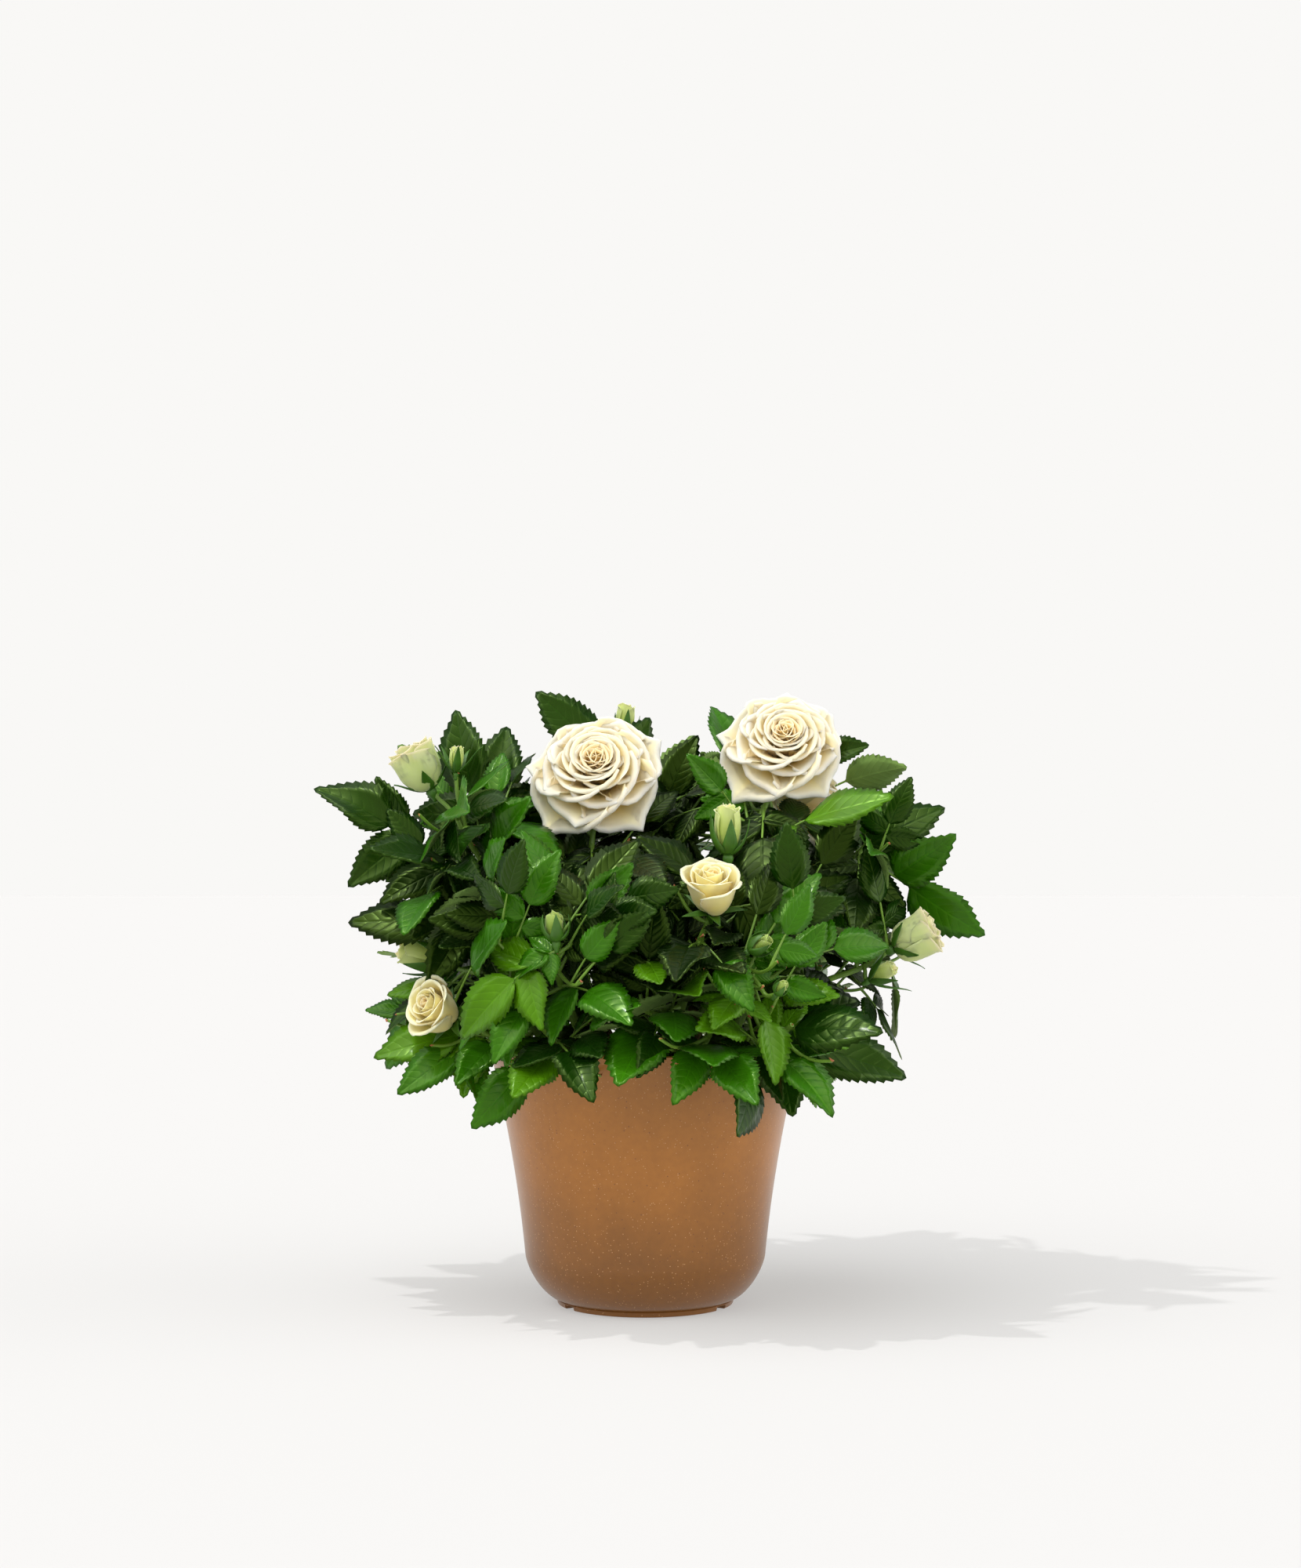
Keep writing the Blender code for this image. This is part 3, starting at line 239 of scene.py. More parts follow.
# Shoots: each is one mass of foliage. name, bough, place along it, tip of its stem,
# flowers (kind, middle, facing, width), leaf tips that give the crown its outline
SHOOT_RADII = (0.0017, 0.0012)
FLOWER_STALK_RADII = (0.00105, 0.00100)
FLOWER_STALK_PLACES = (0.97, 0.72)
FLOWER_STALK_LIFT = 0.006
SHOOTS = (
    ("left_rose", "left_high", 1.0, (-0.022, -0.012, 0.244),
     (("rose", (-0.023, -0.026, 0.252), (-0.06, -0.84, 0.53), 0.066),),
     ((-0.024, -0.060, 0.191), (-0.002, -0.052, 0.200), (-0.060, -0.030, 0.222))),
    ("right_rose", "right_high", 1.0, (0.067, 0.004, 0.257),
     (("rose", (0.067, -0.010, 0.2655), (0.0, -0.84, 0.54), 0.061),),
     ((0.109, -0.045, 0.241), (0.052, -0.062, 0.194), (0.036, 0.018, 0.2905))),
    ("upper_left", "far_left", 1.0, (-0.091, -0.004, 0.232),
     (("spent_rose", (-0.109, -0.005, 0.257), (-0.40, -0.12, 0.90), 0.028),
      ("bud", (-0.0905, -0.008, 0.2585), (0.05, 0.0, 1.0), 0.0095)),
     ((-0.093, 0.012, 0.280), (-0.070, 0.020, 0.274), (-0.042, -0.046, 0.220))),
    ("far_left", "far_left", 0.72, (-0.100, 0.004, 0.212), (),
     ((-0.1555, -0.010, 0.249), (-0.139, -0.022, 0.213), (-0.118, 0.018, 0.206))),
    ("left_middle", "far_left", 0.40, (-0.078, -0.022, 0.196), (),
     ((-0.135, -0.024, 0.184), (-0.056, -0.056, 0.186))),
    ("left_bud", "left_low", 1.0, (-0.092, -0.016, 0.1615),
     (("bud", (-0.105, -0.016, 0.1645), (-0.96, -0.08, 0.26), 0.018),),
     ((-0.090, 0.010, 0.160), (-0.128, 0.010, 0.170))),
    ("lower_left_rose", "left_low", 0.62, (-0.086, -0.032, 0.140),
     (("young_rose", (-0.098, -0.042, 0.1425), (-0.62, -0.70, 0.18), 0.029),),
     ((-0.121, -0.040, 0.124), (-0.110, -0.052, 0.108), (-0.082, -0.066, 0.117))),
    ("round_bud", "left_front", 1.0, (-0.039, -0.080, 0.172),
     (("green_bud", (-0.040, -0.082, 0.180), (-0.06, -0.12, 1.0), 0.0145),),
     ((-0.082, -0.080, 0.135), (-0.058, -0.082, 0.160), (-0.004, -0.092, 0.176))),
    ("front_left", "left_front", 0.60, (-0.052, -0.074, 0.142), (),
     ((-0.056, -0.096, 0.109), (-0.074, -0.080, 0.0935), (-0.022, -0.098, 0.128))),
    ("front_centre", "centre_front", 0.58, (-0.004, -0.074, 0.146), (),
     ((0.020, -0.108, 0.157), (0.014, -0.106, 0.136), (-0.010, -0.110, 0.118))),
    ("centre_rose", "centre_front", 1.0, (0.030, -0.060, 0.187),
     (("young_rose", (0.030, -0.070, 0.1985), (0.0, -0.72, 0.69), 0.030),
      ("bud", (0.038, -0.054, 0.2235), (0.0, -0.06, 1.0), 0.017)),
     ((-0.008, -0.074, 0.190), (0.040, -0.098, 0.166))),
    ("right_bud", "right_front", 1.0, (0.044, -0.076, 0.167),
     (("green_bud", (0.051, -0.078, 0.172), (0.80, -0.20, 0.50), 0.0125),
      ("green_bud", (0.060, -0.088, 0.153), (0.50, -0.40, 0.70), 0.0085)),
     ((0.075, -0.060, 0.176), (0.084, -0.076, 0.150))),
    ("front_rim", "right_front", 0.36, (0.030, -0.082, 0.136), (),
     ((0.016, -0.106, 0.111), (0.047, -0.118, 0.108), (0.030, -0.112, 0.128))),
    ("front_right", "right_front", 0.70, (0.066, -0.072, 0.136), (),
     ((0.097, -0.095, 0.138), (0.044, -0.108, 0.0945), (0.080, -0.098, 0.107), (0.114, -0.062, 0.117))),
    ("right_spray", "right_low", 1.0, (0.1165, -0.020, 0.169),
     (("spent_rose", (0.129, -0.021, 0.1745), (0.88, -0.10, 0.44), 0.027),
      ("bud", (0.111, -0.026, 0.157), (0.80, -0.20, 0.45), 0.0105)),
     ((0.100, -0.030, 0.132), (0.118, 0.030, 0.150))),
    ("far_right", "far_right", 1.0, (0.108, 0.000, 0.220), (),
     ((0.138, -0.005, 0.236), (0.158, -0.015, 0.172), (0.098, -0.038, 0.179))),
    ("right_middle", "far_right", 0.50, (0.092, 0.016, 0.190), (),
     ((0.126, 0.020, 0.196), (0.078, -0.040, 0.182))),
    ("inner_left", "left_high", 0.42, (-0.012, -0.044, 0.190), (), ()),
    ("inner_middle", "centre_front", 0.26, (0.002, -0.034, 0.172), (), ()),
    ("inner_right", "right_high", 0.42, (0.044, -0.042, 0.186), (), ()),
    ("top_middle", "middle_high", 1.0, (0.000, 0.022, 0.252),
     (("bud", (-0.010, 0.028, 0.279), (0.10, 0.0, 1.0), 0.013),),
     ((-0.051, 0.006, 0.2935), (0.022, 0.006, 0.268), (0.006, -0.012, 0.232), (0.020, 0.050, 0.268))),
)

# Shoots on the far side follow a rule: two tiers of them fan out from the three back boughs
BACK_TIERS = (
    {"name": "back_upper", "first": 24.0, "last": 156.0, "half_width": 0.076, "half_depth": 0.062,
     "height": 0.236, "reach": 0.132, "place": 0.90, "flowers": ("rose", None, "young_rose", "bud")},
    {"name": "back_lower", "first": 20.0, "last": 160.0, "half_width": 0.092, "half_depth": 0.078,
     "height": 0.160, "reach": 0.138, "place": 0.30,
     "flowers": (None, "young_rose", None, "green_bud", None)},
)
BACK_BOUGHS = ("far_right", "back_right", "back_middle", "back_left", "far_left")
BACK_WAVE = 0.010
BACK_DROP = 0.018
BACK_FLOWER_WIDTH = {"rose": 0.060, "young_rose": 0.029, "spent_rose": 0.027, "bud": 0.016,
                     "green_bud": 0.0135}
BACK_FLOWER_LIFT = 0.30


def up(height):
    return Vector((0.0, 0.0, height))


def square_to(vector, forward):
    """A direction's part that is square to another, at full length."""
    return (vector - forward * vector.dot(forward)).normalized()


def leaning(forward, side, angle):
    """A direction turned from forward to one side."""
    return forward * math.cos(angle) + side * math.sin(angle)


def turned(vector, angle, axis):
    return Matrix.Rotation(angle, 3, axis) @ vector


def between(pair, share):
    return pair[0] + (pair[1] - pair[0]) * share


def length_of(points):
    return sum((b - a).length for a, b in zip(points, points[1:]))


def along(points, share):
    """The point and the direction at a share of the way along a line of points."""
    left = share * length_of(points)
    for a, b in zip(points, points[1:]):
        length = (b - a).length
        direction = (b - a).normalized()
        if left <= length:
            return a + direction * left, direction
        left -= length
    return a + direction * length, direction


def flow(start, lead, end, arrive, count):
    """A smooth run of points that leaves one place in one direction and arrives in another."""
    pull = (end - start).length * FLOW_PULL
    b = start + lead.normalized() * pull
    c = end - arrive.normalized() * pull
    points = []
    for index in range(count + 1):
        t = index / count
        s = 1.0 - t
        points.append(start * s ** 3 + b * 3 * s * s * t + c * 3 * s * t * t + end * t ** 3)
    return points


def branch(start, lead, end, arrive, count):
    """A limb's line: a short straight root, square to what carries it, and then a smooth run."""
    return [start] + flow(start + lead * LEAD_IN, lead, end, arrive, count)


def fork(points, radii, share, goal):
    """Where a limb leaves another: the place just clear of it, the direction, and the place inside it."""
    place, direction = along(points, share)
    if share >= 1.0:
        return place + direction * FREE_GAP, direction, place - direction * FORK_SINK
    aside = square_to(goal - place, direction)
    return place + aside * (between(radii, share) + SIDE_GAP), aside, place


class Limb:
    """A tapering limb: its line of points and its radius at the start and at the end."""

    def __init__(self, name, points, radii, origin=None):
        self.name = name
        self.points = points
        self.radii = radii
        self.origin = origin


class Blade:
    """A leaflet, as one thin closed blade."""

    def __init__(self, root, tip, normal, width, shape):
        self.root = root
        self.tip = tip
        self.normal = normal
        self.width = width
        self.shape = shape
        self.thickness = LEAFLET_THICKNESS * (tip - root).length

    def points(self, grow=0.0):
        """The points round its edge, then one ridge point on each face."""
        stretch = (self.tip - self.root).normalized() * grow
        root = self.root - stretch
        line = self.tip + stretch - root
        length = line.length
        width = self.width + 2 * grow
        forward = line / length
        normal = square_to(self.normal, forward)
        side = forward.cross(normal)
        back = [(share, -spread) for share, spread in reversed(self.shape)]
        points = []
        for share, spread in [(0.0, 0.0), *self.shape, (1.0, 0.0), *back]:
            lift = BLADE_FOLD * abs(spread) * width - BLADE_DROOP * length * share * share
            points.append(root + forward * (share * length) + side * (spread * width) + normal * lift)
        ridge = root + forward * (RIDGE_PLACE * length) - normal * (RIDGE_SAG * BLADE_DROOP * length)
        half = normal * (self.thickness + 2 * grow) / 2
        return points + [ridge + half, ridge - half]

    def faces(self):
        """A fan round each ridge point."""
        sides = 2 * len(self.shape) + 2
        over = [(a, (a + 1) % sides, sides) for a in range(sides)]
        return over + [(b, a, sides + 1) for a, b, _ridge in over]

    def rim(self):
        return self.points()[1:-2]

    def sight_points(self):
        """Places on the rim and halfway in to the middle line."""
        rim = self.points()[:-2]
        middle = [self.root.lerp(self.tip, share) for share in SIGHT_SHARES]
        return rim + middle + [(point + self.root.lerp(self.tip, 0.45)) / 2 for point in rim]


class Room:
    """What is already in place, so that nothing new runs into another mass or a limb."""

    CELL = 0.012

    def __init__(self):
        self.beads = {}
        self.bodies = {}
        self.front_flowers = []

    def cell(self, place):
        return tuple(math.floor(value / self.CELL) for value in place)

    def cells(self, low, high):
        spans = [range(first, last + 1) for first, last in zip(self.cell(low), self.cell(high))]
        return itertools.product(*spans)

    def near(self, low, high):
        for cell in self.cells(low, high):
            yield from self.beads.get(cell, ())

    def bodies_near(self, low, high):
        found = {}
        for cell in self.cells(low, high):
            for body in self.bodies.get(cell, ()):
                found[id(body)] = body
        return found.values()

    def add_line(self, owner, points, radii):
        for place, radius in beads_along(points, radii):
            self.beads.setdefault(self.cell(place), []).append((place, radius, owner))

    def add_body(self, owner, key, body):
        points = body.points()
        box = box_of(points)
        entry = (box, BVHTree.FromPolygons(points, body.faces()), owner, key)
        for cell in self.cells(*box):
            self.bodies.setdefault(cell, []).append(entry)

    def line_is_free(self, owner, points, radii):
        for place, radius in beads_along(points, radii):
            reach = ALL_ROUND * (radius + SEARCH)
            around = (place - reach, place + reach)
            for other, size, name in self.near(*around):
                if name != owner and (other - place).length < radius + size + CLEARANCE:
                    return False
            for box, tree, name, _key in self.bodies_near(*around):
                if name == owner or not boxes_meet(around, box):
                    continue
                if tree.find_nearest(place, radius + CLEARANCE)[0] is not None:
                    return False
        return True

    def body_is_free(self, owner, key, body):
        guard = body.points(CLEARANCE)
        box = box_of(guard)
        tree = BVHTree.FromPolygons(guard, body.faces())
        for other_box, other, name, other_key in self.bodies_near(*box):
            if name == owner and key == other_key:
                continue
            if boxes_meet(box, other_box) and tree.overlap(other):
                return False
        reach = ALL_ROUND * SEARCH
        for place, radius, name in self.near(box[0] - reach, box[1] + reach):
            if name != owner and tree.find_nearest(place, radius + CLEARANCE)[0] is not None:
                return False
        return True


def beads_along(points, radii):
    """Closely spaced places along a line, with the radius at each."""
    count = max(2, math.ceil(length_of(points) / BEAD_STEP))
    for index in range(count + 1):
        share = index / count
        yield along(points, share)[0], between(radii, share)


def box_of(points):
    return tuple(Vector([pick(point[axis] for point in points) for axis in range(3)]) for pick in (min, max))


def boxes_meet(one, two):
    return all(one[0][axis] <= two[1][axis] and two[0][axis] <= one[1][axis] for axis in range(3))


def inside_crown(point):
    """True within the crown's reach and clear of the pot."""
    if not -REACH_LEFT <= point.x <= REACH_RIGHT or abs(point.y) > REACH_DEPTH:
        return False
    if not LOWEST_TIP <= point.z <= CROWN_TOP:
        return False
    out = math.hypot(point.x, point.y)
    over_wall = RIM_RADIUS - WALL - RIM_CLEARANCE < out < RIM_RADIUS + RIM_CLEARANCE
    if over_wall and point.z < POT_HEIGHT + RIM_CLEARANCE:
        return False
    return out > RIM_RADIUS or point.z > SOIL_TOP + CLEARANCE


def inside_body(point):
    """True within the rounder body of the crown, which only some leaf tips stand out of."""
    if (point.x / BODY_HALF_WIDTH) ** 2 + (point.y / BODY_HALF_DEPTH) ** 2 > 1.0:
        return False
    return BODY_BOTTOM <= point.z <= BODY_TOP


class Leaf:
    """A leaf: its stalk, its end leaflet and its pair of side leaflets."""

    def __init__(self, root, tip, twist):
        length = (tip - root).length
        self.bend = (root + tip) / 2 + up(LEAF_BOW * length)
        self.root = root
        self.tip = tip
        end_length = min(max(LEAFLET_SHARE * length, LEAFLET_MIN), LEAFLET_MAX, 0.8 * length)
        self.end_share = 1.0 - end_length / length
        self.joint, forward = self.at(self.end_share)
        outward = Vector((self.joint.x, self.joint.y, 0.0)).normalized()
        light = Vector((0.0, -FRONT_LIGHT, 0.0)) if self.joint.y < FRONT_HALF else outward * FACE_OUT
        normal = square_to(up(FACE_UP) + outward * FACE_OUT + light, forward)
        self.normal = leaning(normal, forward.cross(normal), twist).normalized()
        side = forward.cross(self.normal)
        end = tip - self.joint
        self.size = end.length * SIDE_LEAFLET_SHARE
        self.blades = [Blade(self.joint - end.normalized() * END_LEAFLET_SINK, tip, self.normal,
                             LEAFLET_ASPECT * end.length, END_LEAFLET)]
        self.blades += [self.side_blade(hand, place, self.size, side) for hand, place in SIDE_LEAFLET_PLACES]

    def at(self, share):
        a = self.root.lerp(self.bend, share)
        b = self.bend.lerp(self.tip, share)
        return a.lerp(b, share), (b - a).normalized()

    def side_blade(self, hand, place, size, side=None):
        """A side leaflet on the left, -1, or on the right, 1, at a share of the way along the stalk."""
        root, forward = self.at(self.end_share * place)
        if side is None:
            side = forward.cross(self.normal)
        aim = (leaning(forward, side * hand, SIDE_LEAFLET_ANGLE) - up(SIDE_LEAFLET_SAG)).normalized()
        return Blade(root - aim * LEAFLET_SINK, root + aim * size, self.normal, LEAFLET_ASPECT * size,
                     SIDE_LEAFLET)


class Flower:
    """A rose or a bud: one closed head on its stalk."""

    def __init__(self, kind, middle, facing, width):
        self.kind = kind
        self.middle = Vector(middle)
        self.facing = Vector(facing).normalized()
        self.width = width
        self.petals, bottom, self.rings, self.top = HEADS[kind]
        self.base = self.middle + self.facing * (bottom * width)
        self.seat = self.base + self.facing * (HEAD_SINK * width)

    def points(self, grow=0.0):
        """Ring by ring from the base up, then the base point and the top point."""
        across = self.facing.orthogonal().normalized()
        count = 2 * self.petals
        points = []
        for height, radius, stand_out in self.rings:
            for index in range(count):
                reach = (radius + stand_out * (-1.0) ** index) * self.width + grow
                out = turned(across, 2 * math.pi * index / count, self.facing)
                points.append(self.middle + self.facing * (height * self.width) + out * reach)
        points.append(self.base - self.facing * grow)
        points.append(self.middle + self.facing * (self.top * self.width + grow))
        return points

    def faces(self):
        count = 2 * self.petals
        last = count * (len(self.rings) - 1)
        bottom = count * len(self.rings)
        faces = []
        for index in range(count):
            after = (index + 1) % count
            faces.append((after, index, bottom))
            faces.append((last + index, last + after, bottom + 1))
            for low in range(0, last, count):
                faces.append((low + index, low + after, low + count + after, low + count + index))
        return faces


class Shoot:
    """One mass of foliage: a stem with its flowers, their stalks, its leaves and its finer growth."""

    def __init__(self, name, stem, flowers, aims):
        self.name = name
        self.stem = stem
        self.flowers = flowers
        self.aims = aims
        self.stalks = []
        self.leaves = []
        self.twigs = []
        self.small_leaves = []
        self.fine = []

    def chance(self, times=1):
        """A random source of this shoot's own."""
        return random.Random(SEED + times * sum(ord(letter) for letter in self.name))


def grow_limbs():
    """The base stems and the boughs, each 0.3 mm clear of what carries it."""
    limbs = {}
    for name, foot, tip in BASE_STEMS:
        start = Vector((*foot, SOIL_TOP + FREE_GAP))
        end = Vector(tip)
        points = branch(start, up(1.0), end, end - start, STEM_POINTS)
        limbs["stem_" + name] = Limb("stem_" + name, points, (STEM_BASE_RADIUS, STEM_TIP_RADIUS),
                                     start - up(FOOT_SINK))
    for name, parent, share, tip in BOUGHS:
        carrier = limbs["stem_" + parent]
        end = Vector(tip)
        start, lead, origin = fork(carrier.points, carrier.radii, share, end)
        rise = up(LIMB_RISE) + (end - start).normalized()
        points = branch(start, lead, end, rise, BOUGH_POINTS)
        limbs["bough_" + name] = Limb("bough_" + name, points, (BOUGH_BASE_RADIUS, BOUGH_TIP_RADIUS), origin)
    return limbs


def back_shoots():
    """The far side's shoots, fanned out evenly in tiers behind the middle."""
    rows = []
    for tier in BACK_TIERS:
        last = len(tier["flowers"]) - 1
        for index, kind in enumerate(tier["flowers"]):
            turn = math.radians(tier["first"] + (tier["last"] - tier["first"]) * index / last)
            out = Vector((math.cos(turn), math.sin(turn), 0.0))
            height = tier["height"] + BACK_WAVE * math.cos(5 * turn)
            tip = Vector((out.x * tier["half_width"], out.y * tier["half_depth"], height))
            bough = BACK_BOUGHS[round(index * (len(BACK_BOUGHS) - 1) / last)]
            flowers = ()
            if kind:
                width = BACK_FLOWER_WIDTH[kind]
                facing = (out + up(1.0)).normalized()
                flowers = ((kind, tip + facing * width * BACK_FLOWER_LIFT, facing, width),)
            drop = BACK_DROP * math.sin(3.0 * index + 1.0)
            far = Vector((out.x * tier["reach"], min(out.y * tier["reach"], BACK_REACH),
                          tier["height"] + drop))
            rows.append(("%s_%d" % (tier["name"], index + 1), bough, tier["place"], tip, flowers, (far,)))
    return rows


def start_shoots(limbs, room):
    """Each shoot's stem, from its bough to its tip, with its flowers and their stalks."""
    shoots = []
    for name, bough, share, tip, flowers, aims in list(SHOOTS) + back_shoots():
        carrier = limbs["bough_" + bough]
        blooms = [Flower(*flower) for flower in flowers]
        end = Vector(tip)
        start, lead, origin = fork(carrier.points, carrier.radii, share, end)
        arrive = (end - start).normalized() + up(SHOOT_RISE)
        if len(blooms) == 1:
            end = blooms[0].seat
            arrive = arrive + blooms[0].facing
        stem = Limb("shoot_" + name, branch(start, lead, end, arrive, SHOOT_POINTS), SHOOT_RADII, origin)
        shoot = Shoot(stem.name, stem, blooms, [Vector(aim) for aim in aims])
        if len(blooms) > 1:
            for bloom, place in zip(blooms, FLOWER_STALK_PLACES):
                root = along(stem.points, place)[0]
                lead_up = bloom.seat - root + up(FLOWER_STALK_LIFT)
                stalk = flow(root, lead_up, bloom.seat, bloom.facing, STALK_POINTS)
                shoot.stalks.append(Limb("stalk", stalk, FLOWER_STALK_RADII))
        shoots.append(shoot)
    for limb in limbs.values():
        room.add_line(limb.name, limb.points, limb.radii)
    for shoot in shoots:
        for limb in [shoot.stem] + shoot.stalks:
            room.add_line(shoot.name, limb.points, limb.radii)
        for flower in shoot.flowers:
            room.add_body(shoot.name, "flower", flower)
            if flower.middle.y < 0.0:
                room.front_flowers.append(flower)
    return shoots


def hides_flower(points, flowers):
    """True where something would stand before a flower that faces the front."""
    for flower in flowers:
        reach = FLOWER_VIEW * flower.width
        for point in points:
            before = point.y < flower.middle.y + reach / 4
            if before and math.hypot(point.x - flower.middle.x, point.z - flower.middle.z) < reach:
                return True
    return False


def blade_is_free(shoot, blade, room, key):
    return (all(map(inside_crown, blade.rim())) and not hides_flower(blade.sight_points(), room.front_flowers)
            and room.body_is_free(shoot.name, key, blade))


def try_leaf(shoot, leaf, room, key):
    """Keep the leaf if its stalk and end leaflet are free, with the side leaflets that are."""
    radii = (LEAF_STALK_RADIUS, LEAF_STALK_RADIUS)
    stalk = [leaf.at(share * leaf.end_share)[0] for share in (0.15, 0.5, 1.0)]
    if not all(map(inside_crown, stalk)) or hides_flower(stalk, room.front_flowers):
        return False
    if not room.line_is_free(shoot.name, stalk, radii) or not blade_is_free(shoot, leaf.blades[0], room, key):
        return False
    leaf.blades[1:] = [blade for blade in leaf.blades[1:] if blade_is_free(shoot, blade, room, key)]
    room.add_line(shoot.name, [leaf.root, leaf.joint], radii)
    for blade in leaf.blades:
        room.add_body(shoot.name, key, blade)
    shoot.leaves.append(leaf)
    return True


def golden_sides(points, places, turn, tries, step):
    """For each place on a line, a golden angle further round: its point, the way there, and sides to try."""
    for place in places:
        root, forward = along(points, place)
        across = forward.orthogonal().normalized()
        turn += GOLDEN_ANGLE
        sides = [turned(across, turn + attempt * step, forward) for attempt in range(tries)]
        yield place, root, forward, sides


def place_aimed_leaf(shoot, aim, room, key):
    """A leaf to a given tip, from the best place on the stem that leaves room for it."""
    roots = [along(shoot.stem.points, share)[0] for share in AIMED_ROOTS]
    roots.sort(key=lambda place: abs((aim - place).length - AIMED_LENGTH))
    for root in roots:
        for twist in AIMED_TWISTS:
            if try_leaf(shoot, Leaf(root, aim, twist), room, key):
                return


def grow_leaves(shoots, room):
    """First the leaves that give the outline, then the rest of each shoot by a seeded rule."""
    for shoot in shoots:
        for number, aim in enumerate(shoot.aims):
            place_aimed_leaf(shoot, aim, room, "aim%d" % number)
    for shoot in shoots:
        rng = shoot.chance()
        turn = rng.uniform(0.0, 2 * math.pi)
        points = shoot.stem.points
        count = max(LEAVES_MIN, round(length_of(points) / LEAF_SPACING))
        places = [FIRST_LEAF + (LAST_LEAF - FIRST_LEAF) * index / (count - 1) for index in range(count)]
        for place, root, forward, sides in golden_sides(points, places, turn, LEAF_TRIES, TRY_TURN):
            for side in sides:
                aim = leaning(forward, side, rng.uniform(*LEAF_LEAN))
                reach = LEAF_LENGTH * rng.uniform(*LEAF_REACH)
                tip = root + aim * reach - up(rng.uniform(0.0, LEAF_DROP))
                leaf = Leaf(root, tip, rng.uniform(-LEAF_TWIST, LEAF_TWIST))
                inside = all(inside_body(blade.tip) for blade in leaf.blades)
                if inside and try_leaf(shoot, leaf, room, place):
                    break


# Finer growth that the solids leave out: lower leaflet pairs, and side twigs with small leaves
LOWER_PAIRS = ((-1.0, 0.42), (1.0, 0.26))
LOWER_PAIR_SIZE = 0.62
TWIG_PLACES = tuple(0.20 + 0.62 * step / 4 for step in range(5))
TWIG_LENGTH = (0.022, 0.042)
TWIG_RADII = (0.0010, 0.0007)
TWIG_TRIES = 8
TWIG_FORWARD = 0.55
TWIG_LIFT = 0.15
TWIG_RISE = 0.5
TWIG_LEAVES = (0.28, 0.50, 0.74, 0.97)
SMALL_LEAF = (0.038, 0.064)
SMALL_LEAF_SAG = 0.35
SMALL_LEAN = (0.5, 1.2)
SMALL_TWIST = 0.5
SMALL_TURN = 1.3
SMALL_TRIES = 7
FINE_STALK_RADIUS = 0.0006
LARGE_LEAFLET = 1.12

# Where the photo shows sky through the crown, as (across, height, half width, half height) at the
# depth of the pot's middle, seen from the photo's viewpoint
VIEWPOINT = (0.00246, -1.096, 0.199)
OPENINGS = ((-0.130, 0.202, 0.015, 0.009), (-0.105, 0.174, 0.014, 0.008), (-0.099, 0.219, 0.006, 0.006),
            (0.129, 0.200, 0.017, 0.015), (0.112, 0.178, 0.010, 0.009), (0.104, 0.138, 0.015, 0.014),
            (0.022, 0.228, 0.010, 0.011), (0.061, 0.230, 0.004, 0.007))


class FineLeaf:
    """A leaf of the visual model: its stalk, and its leaflets as (root, tip, normal, width)."""

    def __init__(self, leaf, place, rng):
        self.stalk = [leaf.at(leaf.end_share * share)[0] for share in (0.0, 0.25, 0.5, 0.75, 1.0)]
        self.leaflets = []
        for blade in leaf.blades:
            larger = blade.root.lerp(blade.tip, LARGE_LEAFLET)
            size = LARGE_LEAFLET if place == "large" and in_box(larger) else 1.0
            self.leaflets.append((blade.root, blade.root.lerp(blade.tip, size), blade.normal,
                                  blade.width * size))
        self.place = place
        self.shade = rng.random()


def in_box(point):
    return all(low < value < high for low, value, high in zip(CAD_BOX[0], point, CAD_BOX[1]))


def in_opening(point):
    """Whether this point stands in front of, in or behind a place where the photo shows sky."""
    share = -VIEWPOINT[1] / (point.y - VIEWPOINT[1])
    across = VIEWPOINT[0] + (point.x - VIEWPOINT[0]) * share
    height = VIEWPOINT[2] + (point.z - VIEWPOINT[2]) * share
    return any(((across - x) / wide) ** 2 + ((height - z) / high) ** 2 < 1.0 for x, z, wide, high in OPENINGS)


def lower_pairs(leaf, shoot, room, key):
    """The second pair of side leaflets, smaller and nearer the stem, where there is room."""
    found = []
    for hand, place in LOWER_PAIRS:
        blade = leaf.side_blade(hand, place, leaf.size * LOWER_PAIR_SIZE)
        if blade_is_free(shoot, blade, room, key):
            room.add_body(shoot.name, key, blade)
            found.append(blade)
    return found


def grow_side_twigs(shoot, room, rng):
    """Side twigs from the shoot's stem, each with small leaves, kept to the shoot's own space."""
    turn = rng.uniform(0.0, 2 * math.pi)
    places = golden_sides(shoot.stem.points, TWIG_PLACES, turn, TWIG_TRIES, TRY_TURN)
    for _place, root, forward, sides in places:
        for side in sides:
            aim = (forward * TWIG_FORWARD + side + up(TWIG_LIFT)).normalized()
            tip = root + aim * rng.uniform(*TWIG_LENGTH)
            points = flow(root, side, tip, aim + up(TWIG_RISE), 4)
            if not inside_body(tip) or in_opening(tip) or hides_flower(points, room.front_flowers):
                continue
            if room.line_is_free(shoot.name, points[1:], TWIG_RADII):
                room.add_line(shoot.name, points, TWIG_RADII)
                shoot.twigs.append(Limb("twig", points, TWIG_RADII))
                grow_small_leaves(shoot, points, room, rng)
                break


